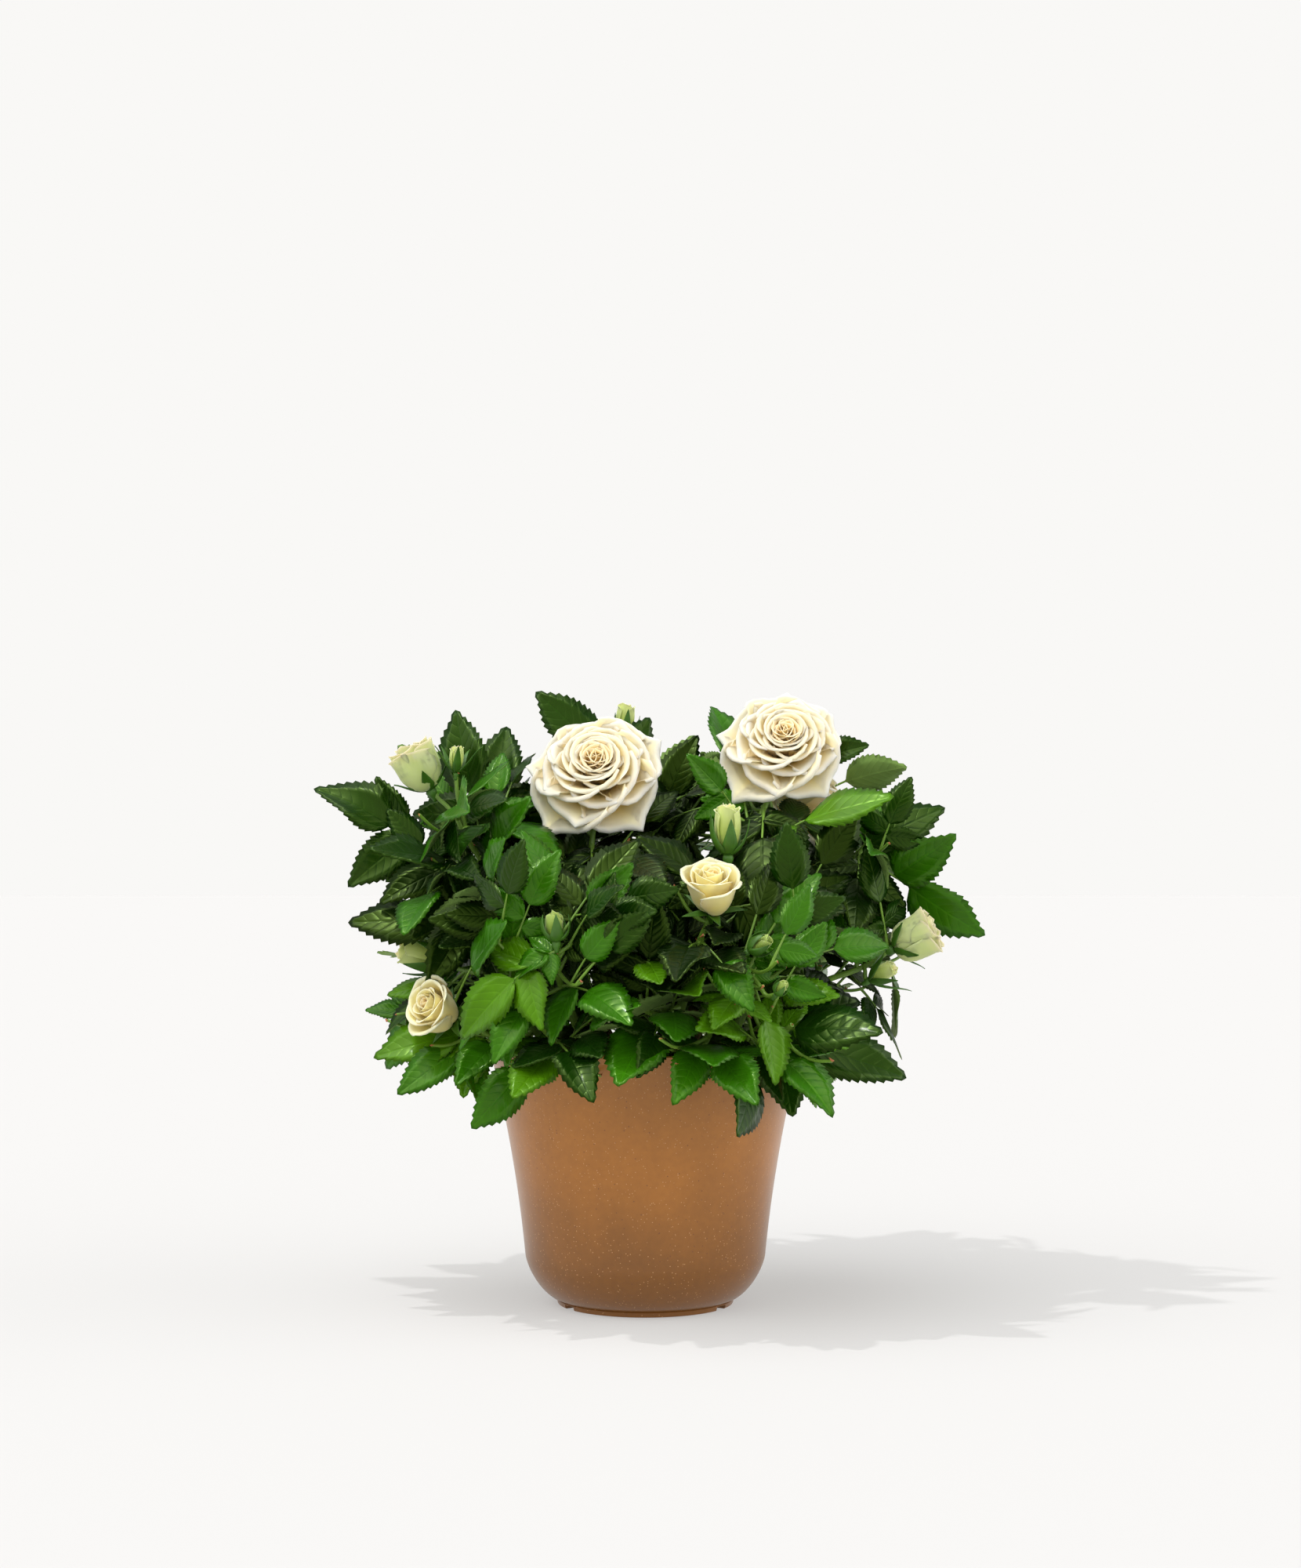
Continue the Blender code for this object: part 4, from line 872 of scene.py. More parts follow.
def grow_small_leaves(shoot, points, room, rng):
    """Small leaves on a side twig, set round it by the golden angle."""
    turn = rng.uniform(0.0, 2 * math.pi)
    for place, root, forward, sides in golden_sides(points, TWIG_LEAVES, turn, SMALL_TRIES, SMALL_TURN):
        key = "twig%d_%.2f" % (len(shoot.twigs), place)
        for side in sides:
            aim = (leaning(forward, side, rng.uniform(*SMALL_LEAN)) - up(SMALL_LEAF_SAG)).normalized()
            tip = root + aim * rng.uniform(*SMALL_LEAF)
            leaf = Leaf(root, tip, rng.uniform(-SMALL_TWIST, SMALL_TWIST))
            seen = inside_body(tip) and not in_opening(leaf.joint.lerp(tip, 0.5))
            if seen and try_leaf(shoot, leaf, room, key):
                shoot.small_leaves.append(shoot.leaves.pop())
                break


@functools.lru_cache(maxsize=1)
def planted():
    """The whole plant by the planting rule: its limbs and its shoots with all that they carry."""
    room = Room()
    limbs = grow_limbs()
    shoots = start_shoots(limbs, room)
    grow_leaves(shoots, room)
    for shoot in shoots:
        rng = shoot.chance(7)
        leaves = [leaf for leaf in shoot.leaves if not in_opening(leaf.joint.lerp(leaf.tip, 0.5))]
        for number, leaf in enumerate(leaves):
            leaf.blades += lower_pairs(leaf, shoot, room, "low%d" % number)
        grow_side_twigs(shoot, room, rng)
        shoot.fine = [FineLeaf(leaf, "large", rng) for leaf in leaves]
        shoot.fine += [FineLeaf(leaf, "small", rng) for leaf in shoot.small_leaves]
    return limbs, shoots


def wall_radius(height):
    """The pot's outer radius: a rounded heel, then a wall that flares towards the rim."""
    if height < HEEL_TOP:
        drop = (HEEL_TOP - height) / (HEEL_TOP - FOOT_HEIGHT)
        return FOOT_RADIUS + (HEEL_TOP_RADIUS - FOOT_RADIUS) * (1 - drop ** HEEL_POWER) ** (1 / HEEL_POWER)
    t = (height - HEEL_TOP) / (POT_HEIGHT - HEEL_TOP)
    return HEEL_TOP_RADIUS + WALL_SLOPE * t + WALL_FLARE * t * t


def linear(code):
    """A hex colour as linear red, green and blue."""
    parts = [int(code[index:index + 2], 16) / 255 for index in (1, 3, 5)]
    return tuple(part / 12.92 if part <= 0.04045 else ((part + 0.055) / 1.055) ** 2.4 for part in parts)


def colour_prop(name, code, description):
    return bpy.props.FloatVectorProperty(name=name, description=description, subtype="COLOR", size=3,
                                         min=0.0, max=1.0, default=linear(code))


def length_prop(name, default, description):
    return bpy.props.FloatProperty(name=name, description=description, default=default, min=0.0,
                                   unit="LENGTH", precision=4)


class PotSettings(bpy.types.PropertyGroup):
    body: colour_prop("Body", "#a66922", "Colour of the moulded pot")
    pale_speck: colour_prop("Pale specks", "#c0905e", "Colour of the pale mineral specks")
    dark_speck: colour_prop("Dark specks", "#6b4020", "Colour of the dark fibre specks")
    speck: length_prop("Speck", 0.0011, "Spacing of the specks in the moulded body")
    soil: colour_prop("Growing medium", "#2c1d12", "Colour of the damp peat and coir")
    crumb: length_prop("Crumb", 0.0026, "Size of the largest crumbs of growing medium")


class LeafSettings(bpy.types.PropertyGroup):
    # The inner green is painted shade: a near-black green for the leaves deep inside the crown
    inner: colour_prop("Inner green", "#071a02", "Colour of the shaded leaves inside the crown")
    deep: colour_prop("Deep green", "#0d2c02", "Colour of the oldest leaves")
    middle: colour_prop("Middle green", "#2a6004", "Colour of grown leaves")
    bright: colour_prop("Bright green", "#447305", "Colour of young leaves low at the front")
    under: colour_prop("Underside", "#6b8748", "Colour of the leaves' pale undersides")
    size: bpy.props.FloatProperty(name="Leaflet size",
                                  description="Leaflet size as a share of the planned size",
                                  default=1.0, min=0.5, max=1.2)
    twig: colour_prop("Twigs", "#6c9230", "Colour of green twigs and leaf stalks")
    bark: colour_prop("Bark", "#6a5a35", "Colour of the woody stems")
    prickle_spacing: length_prop("Prickle spacing", 0.011, "Distance from one prickle to the next")


class RoseSettings(bpy.types.PropertyGroup):
    ivory: colour_prop("Ivory", "#fdf5de", "Colour of the outer petals")
    cream: colour_prop("Cream", "#fdf1ca", "Colour of the middle petals")
    heart: colour_prop("Heart", "#fee6b4", "Colour of the innermost petals")
    yellow: colour_prop("Yellow cream", "#fbf2bc", "Colour of the young roses")
    lime: colour_prop("Lime cream", "#d6dd98", "Colour of buds and fading roses")
    green: colour_prop("Bud green", "#b4c86c", "Colour of the closed round buds")
    frayed: colour_prop("Frayed edge", "#ecd8b0", "Colour of the dry edges of fading petals")
    sepal: colour_prop("Sepals", "#3d6a15", "Colour of the sepals and hips")


class StageSettings(bpy.types.PropertyGroup):
    paper: colour_prop("Paper", "#f9f8f6", "Colour that the studio floor and backdrop show")
    key: bpy.props.FloatProperty(name="Key light",
                                 description="Strength of the small lamp above the plant at the left",
                                 default=21.0, min=0.0)
    sky: bpy.props.FloatProperty(name="Sky", description="Strength of the even light from all round",
                                 default=0.44, min=0.0)
    window: bpy.props.FloatProperty(name="Window", description="Strength of the broad soft light from above",
                                    default=0.76, min=0.0)


def add_node(tree, kind, inputs, **settings):
    """Adds a node, sets its properties, and fills its inputs."""
    made = tree.nodes.new(kind)
    for name, value in settings.items():
        setattr(made, name, value)
    return fill(tree, made, inputs)


def fill(tree, made, inputs):
    """Fills a node's inputs, called by name or by number where names repeat, with values or from nodes.

    A node given as a value is read by the first output that it has in use.
    """
    for name, value in inputs.items():
        if isinstance(value, bpy.types.Node):
            value = next(socket for socket in value.outputs if socket.enabled)
        if isinstance(value, bpy.types.NodeSocket):
            tree.links.new(value, made.inputs[name])
        else:
            made.inputs[name].default_value = value
    return made


def new_material(name, colour, roughness, settings):
    """A material with its Principled shader, whose constant values are set on their own sockets."""
    material = bpy.data.materials.new(name)
    material.use_nodes = True
    tree = material.node_tree
    shader = tree.nodes["Principled BSDF"]
    fill(tree, shader, {"Base Color": (*colour, 1.0), "Roughness": roughness, **settings})
    return material, tree, shader


# Leaf skin: the side veins to half a leaflet, how they bow forward, how sharp the quilting is, and
# the midrib's half width as a share of the leaflet's
VEINS = 7.5
VEIN_BOW = 1.35
VEIN_SLOPE = 1.05
VEIN_SHARPNESS = 0.40
RIB_WIDTH = 0.035


def shaded(colour, share):
    return tuple(min(1.0, part * share) for part in colour)


def leaf_material(name, colour, roughness, quilt, coat):
    """Rose leaf: a waxy cuticle over green flesh, pulled in along its midrib and side veins.

    The quilting follows the leaflet's own UV map: v runs from stalk to tip and u across it, with
    about eight veins a side, 3 to 5 mm apart on the plant. The veins read a little paler.
    """
    material, tree, shader = new_material(name, colour, roughness, {
        "Specular IOR Level": 0.42, "Specular Tint": (0.60, 1.0, 0.14, 1.0), "Coat Weight": coat,
        "Coat Tint": (0.9, 1.0, 0.8, 1.0), "Coat Roughness": 0.15})
    place = add_node(tree, "ShaderNodeUVMap", {}, uv_map="UVMap")
    split = add_node(tree, "ShaderNodeSeparateXYZ", {"Vector": place})
    aside = add_node(tree, "ShaderNodeMath", {0: split.outputs["X"], 1: 0.5}, operation="SUBTRACT")
    across = add_node(tree, "ShaderNodeMath", {0: aside}, operation="ABSOLUTE")
    bowed = add_node(tree, "ShaderNodeMath", {0: across, 1: VEIN_BOW}, operation="POWER")
    slope = add_node(tree, "ShaderNodeMath", {0: bowed, 1: VEIN_SLOPE}, operation="MULTIPLY")
    upward = add_node(tree, "ShaderNodeMath", {0: split.outputs["Y"], 1: slope}, operation="SUBTRACT")
    phase = add_node(tree, "ShaderNodeMath", {0: upward, 1: VEINS * math.pi}, operation="MULTIPLY")
    wave = add_node(tree, "ShaderNodeMath", {0: phase}, operation="SINE")
    pillow = add_node(tree, "ShaderNodeMath", {0: wave}, operation="ABSOLUTE")
    swell = add_node(tree, "ShaderNodeMath", {0: pillow, 1: VEIN_SHARPNESS}, operation="POWER")
    rib = add_node(tree, "ShaderNodeMapRange", {"Value": across, 1: 0.0, 2: RIB_WIDTH, 3: 0.0, 4: 1.0})
    quilting = add_node(tree, "ShaderNodeMath", {0: swell, 1: rib}, operation="MULTIPLY")
    spot = add_node(tree, "ShaderNodeTexCoord", {}).outputs["Object"]
    cells = add_node(tree, "ShaderNodeTexNoise", {"Vector": spot, "Scale": 900.0, "Detail": 2.0})
    grain = add_node(tree, "ShaderNodeMath", {0: cells, 1: 0.12}, operation="MULTIPLY")
    height = add_node(tree, "ShaderNodeMath", {0: quilting, 1: quilt, 2: grain}, operation="MULTIPLY_ADD")
    bump = add_node(tree, "ShaderNodeBump", {"Height": height, "Distance": 0.0005, "Strength": 0.38})
    veined = add_node(tree, "ShaderNodeMapRange",
                      {"Vector": quilting, 7: (0.0,) * 3, 8: (0.55,) * 3, 9: shaded(colour, 1.28),
                       10: colour}, data_type="FLOAT_VECTOR")
    patch = add_node(tree, "ShaderNodeTexNoise", {"Vector": spot, "Scale": 60.0, "Detail": 2.0})
    mottled = add_node(tree, "ShaderNodeMapRange",
                       {"Vector": patch, 7: (0.35,) * 3, 8: (0.65,) * 3, 9: (0.82, 0.82, 0.80),
                        10: (1.12, 1.10, 1.05)}, data_type="FLOAT_VECTOR")
    mixed = add_node(tree, "ShaderNodeMix", {0: 1.0, 6: veined, 7: mottled}, data_type="RGBA",
                     blend_type="MULTIPLY")
    fill(tree, shader, {"Base Color": mixed, "Normal": bump})
    return material


def petal_material(name, base, rim, turns):
    """Rose petal: soft matte skin over moist flesh, deeper in colour where it comes from the hip."""
    material, tree, shader = new_material(name, rim, 0.60, {
        "Subsurface Weight": 0.65, "Subsurface Scale": 0.0008, "Subsurface Radius": (1.0, 0.92, 0.72),
        "Sheen Weight": 0.25, "Specular IOR Level": 0.25})
    share = add_node(tree, "ShaderNodeAttribute", {}, attribute_name="rim").outputs["Fac"]
    low, high = turns
    toned = add_node(tree, "ShaderNodeMapRange",
                     {"Vector": share, 7: (low,) * 3, 8: (high,) * 3, 9: base, 10: rim},
                     data_type="FLOAT_VECTOR")
    spot = add_node(tree, "ShaderNodeTexCoord", {}).outputs["Object"]
    soft = add_node(tree, "ShaderNodeTexNoise", {"Vector": spot, "Scale": 220.0, "Detail": 3.0})
    bump = add_node(tree, "ShaderNodeBump", {"Height": soft, "Distance": 0.0003, "Strength": 0.2})
    fill(tree, shader, {"Base Color": toned, "Normal": bump})
    return material


def rough_material(name, colour, roughness, level, lumps, tones, relief, stretch=(1.0, 1.0, 1.0)):
    """A natural surface whose noise both mottles its colour and raises it.

    lumps is the noise's scale and detail, tones its limits and then the darkest and the palest
    share of the colour, and relief the height and strength of what stands out.
    """
    material, tree, shader = new_material(name, colour, roughness, {"Specular IOR Level": level})
    spot = add_node(tree, "ShaderNodeTexCoord", {}).outputs["Object"]
    drawn = add_node(tree, "ShaderNodeMapping", {"Vector": spot, "Scale": stretch})
    patch = add_node(tree, "ShaderNodeTexNoise", {"Vector": drawn, "Scale": lumps[0], "Detail": lumps[1]})
    low, high, dark, light = tones
    toned = add_node(tree, "ShaderNodeMapRange",
                     {"Vector": patch, 7: (low,) * 3, 8: (high,) * 3, 9: shaded(colour, dark),
                      10: shaded(colour, light)}, data_type="FLOAT_VECTOR")
    bump = add_node(tree, "ShaderNodeBump", {"Height": patch, "Distance": relief[0], "Strength": relief[1]})
    fill(tree, shader, {"Base Color": toned, "Normal": bump})
    return material


def twig_material(name, colour, roughness):
    """Green rose twig: smooth waxy bark, lightly mottled."""
    return rough_material(name, colour, roughness, 0.45, (160.0, 3.0), (0.3, 0.7, 0.72, 1.15), (0.0003, 0.3))


def bark_material(name, colour):
    """Woody rose bark: matte, cracked lengthwise, grey-brown over green."""
    return rough_material(name, colour, 0.78, 0.3, (700.0, 4.0), (0.36, 0.62, 0.45, 1.25), (0.0006, 0.6),
                          (1.0, 1.0, 0.22))


def pot_material(settings):
    """Moulded composite of resin and ground plant fibre: satin, with pale and dark specks in it.

    Toward the foot its colour is painted darker, as painted shade.
    """
    body = tuple(settings.body)
    material, tree, shader = new_material("moulded_fibre_composite", body, 0.36, {
        "Specular IOR Level": 0.33, "Coat Weight": 0.35, "Coat Roughness": 0.22})
    spot = add_node(tree, "ShaderNodeTexCoord", {}).outputs["Object"]
    grain = add_node(tree, "ShaderNodeTexNoise",
                     {"Vector": spot, "Scale": 0.35 / settings.speck, "Detail": 4.0})
    cloud = add_node(tree, "ShaderNodeTexNoise", {"Vector": spot, "Scale": 26.0, "Detail": 2.0})
    height = add_node(tree, "ShaderNodeSeparateXYZ", {"Vector": spot}).outputs["Z"]
    # Painted shade: the body colour is darkened by height toward the foot
    foot = add_node(tree, "ShaderNodeMapRange",
                    {"Value": height, 1: 0.0, 2: POT_HEIGHT * 0.72, 3: -0.52, 4: 0.0},
                    interpolation_type="SMOOTHSTEP")
    clouded = add_node(tree, "ShaderNodeMath", {0: cloud, 1: 0.4, 2: 0.32}, operation="MULTIPLY_ADD")
    # The tone is random clouding together with the painted shade toward the foot
    tone = add_node(tree, "ShaderNodeMath", {0: clouded, 1: foot}, operation="ADD")
    base = add_node(tree, "ShaderNodeMapRange",
                    {"Vector": tone, 7: (0.12,) * 3, 8: (0.62,) * 3, 9: shaded(body, 0.50),
                     10: shaded(body, 1.06)}, data_type="FLOAT_VECTOR")
    grained = add_node(tree, "ShaderNodeMapRange",
                       {"Vector": grain, 7: (0.35,) * 3, 8: (0.65,) * 3, 9: (0.92, 0.91, 0.90),
                        10: (1.06, 1.06, 1.06)}, data_type="FLOAT_VECTOR")
    colour = add_node(tree, "ShaderNodeMix", {0: 0.6, 6: base, 7: grained}, data_type="RGBA",
                      blend_type="MULTIPLY")
    for tint, spacing, size in ((settings.pale_speck, 1.6, 0.16), (settings.dark_speck, 3.4, 0.10)):
        dots = add_node(tree, "ShaderNodeTexVoronoi",
                        {"Vector": spot, "Scale": 1.0 / (settings.speck * spacing)})
        mask = add_node(tree, "ShaderNodeMapRange", {"Value": dots, 1: size * 0.7, 2: size, 3: 0.75, 4: 0.0})
        colour = add_node(tree, "ShaderNodeMix", {0: mask, 6: colour, 7: (*tint, 1.0)}, data_type="RGBA")
    bump = add_node(tree, "ShaderNodeBump", {"Height": grain, "Distance": 0.0002, "Strength": 0.15})
    fill(tree, shader, {"Base Color": colour, "Normal": bump})
    return material


def soil_material(colour):
    """Damp peat and coir: matte, dark, paler where a crumb has dried."""
    return rough_material("peat_and_coir", colour, 0.92, 0.25, (420.0, 5.0), (0.35, 0.72, 0.45, 1.9),
                          (0.0008, 0.7))


def new_tree(name, sizes):
    """A Geometry Nodes tree with one geometry in and out, and named inputs for its sizes."""
    tree = bpy.data.node_groups.new(name, "GeometryNodeTree")
    tree.interface.new_socket("Geometry", in_out="INPUT", socket_type="NodeSocketGeometry")
    for label, default in sizes:
        socket = tree.interface.new_socket(label, in_out="INPUT", socket_type="NodeSocketFloat")
        socket.default_value = default
    tree.interface.new_socket("Geometry", in_out="OUTPUT", socket_type="NodeSocketGeometry")
    return tree, add_node(tree, "NodeGroupInput", {}).outputs


def end_tree(tree, shape, materials):
    """Realizes instances, sets the first material, and each later one where its attribute is set."""
    shape = add_node(tree, "GeometryNodeRealizeInstances", {"Geometry": shape})
    for mark, material in materials:
        chosen = {}
        if mark:
            marked = add_node(tree, "GeometryNodeInputNamedAttribute", {"Name": mark}, data_type="BOOLEAN")
            chosen["Selection"] = marked
        shape = add_node(tree, "GeometryNodeSetMaterial", {"Geometry": shape, "Material": material, **chosen})
    add_node(tree, "NodeGroupOutput", {"Geometry": shape})
    return tree


def put(name, data):
    """Adds an object to the scene."""
    thing = bpy.data.objects.new(name, data)
    bpy.context.scene.collection.objects.link(thing)
    return thing


def baked(shape, name):
    """The mesh of a finished bmesh."""
    mesh = bpy.data.meshes.new(name)
    shape.to_mesh(mesh)
    shape.free()
    return mesh


def evaluated(thing):
    """An object's mesh with its modifiers applied. The object itself is removed."""
    depsgraph = bpy.context.evaluated_depsgraph_get()
    mesh = bpy.data.meshes.new_from_object(thing.evaluated_get(depsgraph), preserve_all_data_layers=True,
                                           depsgraph=depsgraph)
    mesh.name = thing.name
    bpy.data.objects.remove(thing)
    return mesh


def grown(name, source, tree, sizes):
    """Runs a tree on a source mesh and gives back the plain mesh that it makes."""
    holder = put(name, source)
    modifier = holder.modifiers.new("Grow", "NODES")
    modifier.node_group = tree
    for socket in tree.interface.items_tree:
        if socket.in_out == "INPUT" and socket.name in sizes:
            modifier[socket.identifier] = sizes[socket.name]
    return evaluated(holder)


def hand_over(name, mesh, nodes):
    """Puts a finished mesh in the scene as a piece that stands for these solids."""
    piece = put(name, mesh)
    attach(piece, BODY)
    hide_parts(*nodes)


def nodes_of(kind):
    return [name for name in frame["nodes"] if name.startswith(kind + "_")]


# Pot: the rounding of its foot ring's edges, the points on its section, its sides, and the rounding
# of the notches
FOOT_EDGE = 0.0007
FOOT_EASE = 0.0004
OUTER_STEPS = 90
INNER_STEPS = 40
LIP_STEPS = 8
POT_SIDES = 144
NOTCH_ROUND = 0.0009


def pot_profile():
    """The pot's section from the top of its lip down the outer wall, under the foot and up inside."""
    lip_base = POT_HEIGHT - LIP_ROUND
    lip = []
    for index in range(1, LIP_STEPS):
        turn = math.pi * index / LIP_STEPS
        lip.append((RIM_RADIUS - WALL / 2 - WALL / 2 * math.cos(turn), lip_base + LIP_ROUND * math.sin(turn)))
    outer = [(wall_radius(height), height) for height in np.linspace(lip_base, FOOT_HEIGHT, OUTER_STEPS)]
    inside = FOOT_RADIUS - FOOT_WIDTH
    ceiling = FOOT_HEIGHT - FOOT_EASE
    foot = [(FOOT_RADIUS + 0.0003, ceiling), (FOOT_RADIUS, FOOT_EDGE),
            (FOOT_RADIUS - FOOT_EDGE * 0.3, FOOT_EDGE * 0.3), (FOOT_RADIUS - FOOT_EDGE, 0.0),
            (inside + FOOT_EDGE, 0.0), (inside, FOOT_EDGE), (inside, ceiling), (0.0, ceiling)]
    floor = FOOT_HEIGHT + WALL
    inner = [(0.0, floor), (FOOT_RADIUS - 0.004, floor)]
    inner += [(wall_radius(max(height - 0.001, FOOT_HEIGHT + 0.002)) - WALL, height)
              for height in np.linspace(floor + 0.001, lip_base, INNER_STEPS)]
    return lip + outer + foot + inner


def make_notches(pot):
    """Cuts the foot ring's three drainage notches."""
    cutters = []
    for angle in NOTCH_ANGLES:
        shape = bmesh.new()
        bmesh.ops.create_cube(shape, size=1.0)
        bmesh.ops.scale(shape, verts=shape.verts, vec=(FOOT_WIDTH * 2, NOTCH_WIDTH, FOOT_HEIGHT))
        lengthwise = [edge for edge in shape.edges if abs(edge.verts[0].co.x - edge.verts[1].co.x) > 0.001]
        bmesh.ops.bevel(shape, geom=lengthwise, offset=NOTCH_ROUND, segments=4, affect="EDGES", profile=0.5)
        reach = FOOT_RADIUS - FOOT_WIDTH / 2
        turn = math.radians(angle)
        spot = Vector((reach * math.cos(turn), reach * math.sin(turn), NOTCH_DEPTH - FOOT_HEIGHT / 2))
        bmesh.ops.transform(shape, verts=shape.verts,
                            matrix=Matrix.Translation(spot) @ Matrix.Rotation(turn, 4, "Z"))
        cutters.append(put("notch", baked(shape, "notch")))
        cut = pot.modifiers.new("Notch", "BOOLEAN")
        cut.operation = "DIFFERENCE"
        cut.object = cutters[-1]
    mesh = evaluated(pot)
    for cutter in cutters:
        bpy.data.objects.remove(cutter)
    return mesh


def spun(name, profile, steps):
    """A closed body turned round Z from its section."""
    shape = bmesh.new()
    points = [shape.verts.new((radius, 0.0, height)) for radius, height in profile]
    edges = [shape.edges.new(pair) for pair in zip(points, points[1:] + points[:1])]
    bmesh.ops.spin(shape, geom=points + edges, cent=(0.0, 0.0, 0.0), axis=(0.0, 0.0, 1.0),
                   angle=2 * math.pi, steps=steps, use_merge=True)
    bmesh.ops.remove_doubles(shape, verts=shape.verts, dist=0.00001)
    bmesh.ops.recalc_face_normals(shape, faces=shape.faces)
    return baked(shape, name)


def smoothed(mesh, angle):
    """Smooth shading, kept crisp at edges over this many degrees."""
    mesh.shade_smooth()
    mesh.set_sharp_from_angle(angle=math.radians(angle))
    return mesh


class ROSE_BUSH_OT_pot(bpy.types.Operator):
    """Turns the pot with its rounded lip and heel and its notched foot ring"""

    bl_idname = "rose_bush.pot"
    bl_label = "Make the pot"

    def execute(self, context):
        mesh = make_notches(put("pot_body", spun("pot_body", pot_profile(), POT_SIDES)))
        mesh.materials.clear()
        mesh.materials.append(pot_material(context.scene.rose_bush_pot))
        hand_over("pot_body", smoothed(mesh, 40.0), ["pot"])
        return {"FINISHED"}


# Growing medium: the plug's rings and sides, its play in the pot, the waves of its top, its crumbs,
# and a turn in radians, rounded up, for chance turns and phases
PLUG_RINGS = 26
PLUG_SIDES = 84
PLUG_PLAY = 0.0008
PLUG_SWELL = 0.0004
PLUG_HEIGHTS = (0.08, 0.05, 0.03, 0.012)
WAVES = 14
CRUMB_SHAPES = ((1.0, 0.8, 0.7), (1.0, 1.0, 0.6), (1.3, 0.6, 0.35), (2.6, 0.10, 0.10))
CRUMB_BOW = 0.18
FULL_TURN = 6.3


def hidden_holder(name, meshes):
    """A collection of template objects for a tree to take its instances from."""
    holder = bpy.data.collections.new(name)
    for number, mesh in enumerate(meshes):
        holder.objects.link(bpy.data.objects.new("%s_%02d" % (name, number), mesh))
    return holder


def drop_holder(holder):
    for thing in list(holder.objects):
        bpy.data.objects.remove(thing)
    bpy.data.collections.remove(holder)


def crumb_meshes(rng):
    """Lumps of peat, a chip and a bent fibre, each about one unit across."""
    meshes = []
    for stretch in CRUMB_SHAPES:
        shape = bmesh.new()
        bmesh.ops.create_icosphere(shape, subdivisions=1, radius=0.5)
        for vertex in shape.verts:
            vertex.co *= rng.uniform(0.75, 1.15)
            vertex.co = Vector(a * b for a, b in zip(vertex.co, stretch))
            vertex.co.z += CRUMB_BOW * vertex.co.x * vertex.co.x
        meshes.append(baked(shape, "crumb"))
    return meshes


def soil_surface():
    """The plug that fills the pot, with a lumpy top."""
    edge = wall_radius(SOIL_TOP) - WALL - PLUG_PLAY
    rng = random.Random(SEED)
    waves = []
    for _ in range(WAVES):
        waves.append((rng.uniform(60, 260), rng.uniform(60, 260), rng.uniform(0, FULL_TURN),
                      rng.uniform(0.0002, 0.0006)))
    round_about = [2 * math.pi * step / PLUG_SIDES for step in range(PLUG_SIDES)]
    points = [(0.0, 0.0, SOIL_TOP + 1.5 * PLUG_SWELL)]
    for ring in range(1, PLUG_RINGS + 1):
        radius = edge * ring / PLUG_RINGS
        for turn in round_about:
            x = radius * math.cos(turn)
            y = radius * math.sin(turn)
            lump = sum(size * math.sin(a * x + b * y + phase) for a, b, phase, size in waves)
            points.append((x, y, SOIL_TOP + PLUG_SWELL + lump * 0.8 * (1.0 - (ring / PLUG_RINGS) ** 8)))
    for height in PLUG_HEIGHTS:
        radius = wall_radius(height) - WALL - PLUG_PLAY
        points += [(radius * math.cos(turn), radius * math.sin(turn), height) for turn in round_about]
    faces = [(0, 1 + step, 1 + (step + 1) % PLUG_SIDES) for step in range(PLUG_SIDES)]
    for ring in range(PLUG_RINGS + len(PLUG_HEIGHTS) - 1):
        for step in range(PLUG_SIDES):
            a = 1 + ring * PLUG_SIDES + step
            b = 1 + ring * PLUG_SIDES + (step + 1) % PLUG_SIDES
            faces.append((a, a + PLUG_SIDES, b + PLUG_SIDES, b))
    faces.append(tuple(len(points) - 1 - step for step in range(PLUG_SIDES)))
    mesh = bpy.data.meshes.new("medium")
    mesh.from_pydata(points, [], faces)
    return mesh


def crumb_tree(crumbs, material):
    """Scatters crumbs over the upward faces of the plug, each turned and sized at random."""
    tree, start = new_tree("Crumbs on the growing medium",
                           (("Crumb", 0.0026), ("Crumbs per square metre", 150000.0)))
    normal = add_node(tree, "GeometryNodeInputNormal", {})
    facing = add_node(tree, "ShaderNodeSeparateXYZ", {"Vector": normal}).outputs["Z"]
    top = add_node(tree, "ShaderNodeMath", {0: facing, 1: 0.6}, operation="GREATER_THAN")
    spread = add_node(tree, "GeometryNodeDistributePointsOnFaces",
                      {"Mesh": start["Geometry"], "Selection": top,
                       "Density": start["Crumbs per square metre"], "Seed": SEED},
                      distribute_method="RANDOM")
    turn = add_node(tree, "FunctionNodeRandomValue", {0: (0.0, 0.0, 0.0), 1: (FULL_TURN,) * 3, "Seed": 3},
                    data_type="FLOAT_VECTOR")
    size = add_node(tree, "FunctionNodeRandomValue", {2: 0.25, 3: 1.0, "Seed": 4}, data_type="FLOAT")
    scale = add_node(tree, "ShaderNodeMath", {0: size, 1: start["Crumb"]}, operation="MULTIPLY")
    rotation = add_node(tree, "FunctionNodeEulerToRotation", {"Euler": turn})
    pick = add_node(tree, "FunctionNodeRandomValue", {4: 0, 5: len(CRUMB_SHAPES) - 1, "Seed": 5},
                    data_type="INT")
    kinds = add_node(tree, "GeometryNodeCollectionInfo",
                     {"Collection": crumbs, "Separate Children": True, "Reset Children": True})
    placed = add_node(tree, "GeometryNodeInstanceOnPoints",
                      {"Points": spread, "Instance": kinds, "Pick Instance": True, "Instance Index": pick,
                       "Rotation": rotation, "Scale": scale})
    both = add_node(tree, "GeometryNodeJoinGeometry", {0: placed})
    fill(tree, both, {0: start["Geometry"]})
    return end_tree(tree, both, ((None, material),))


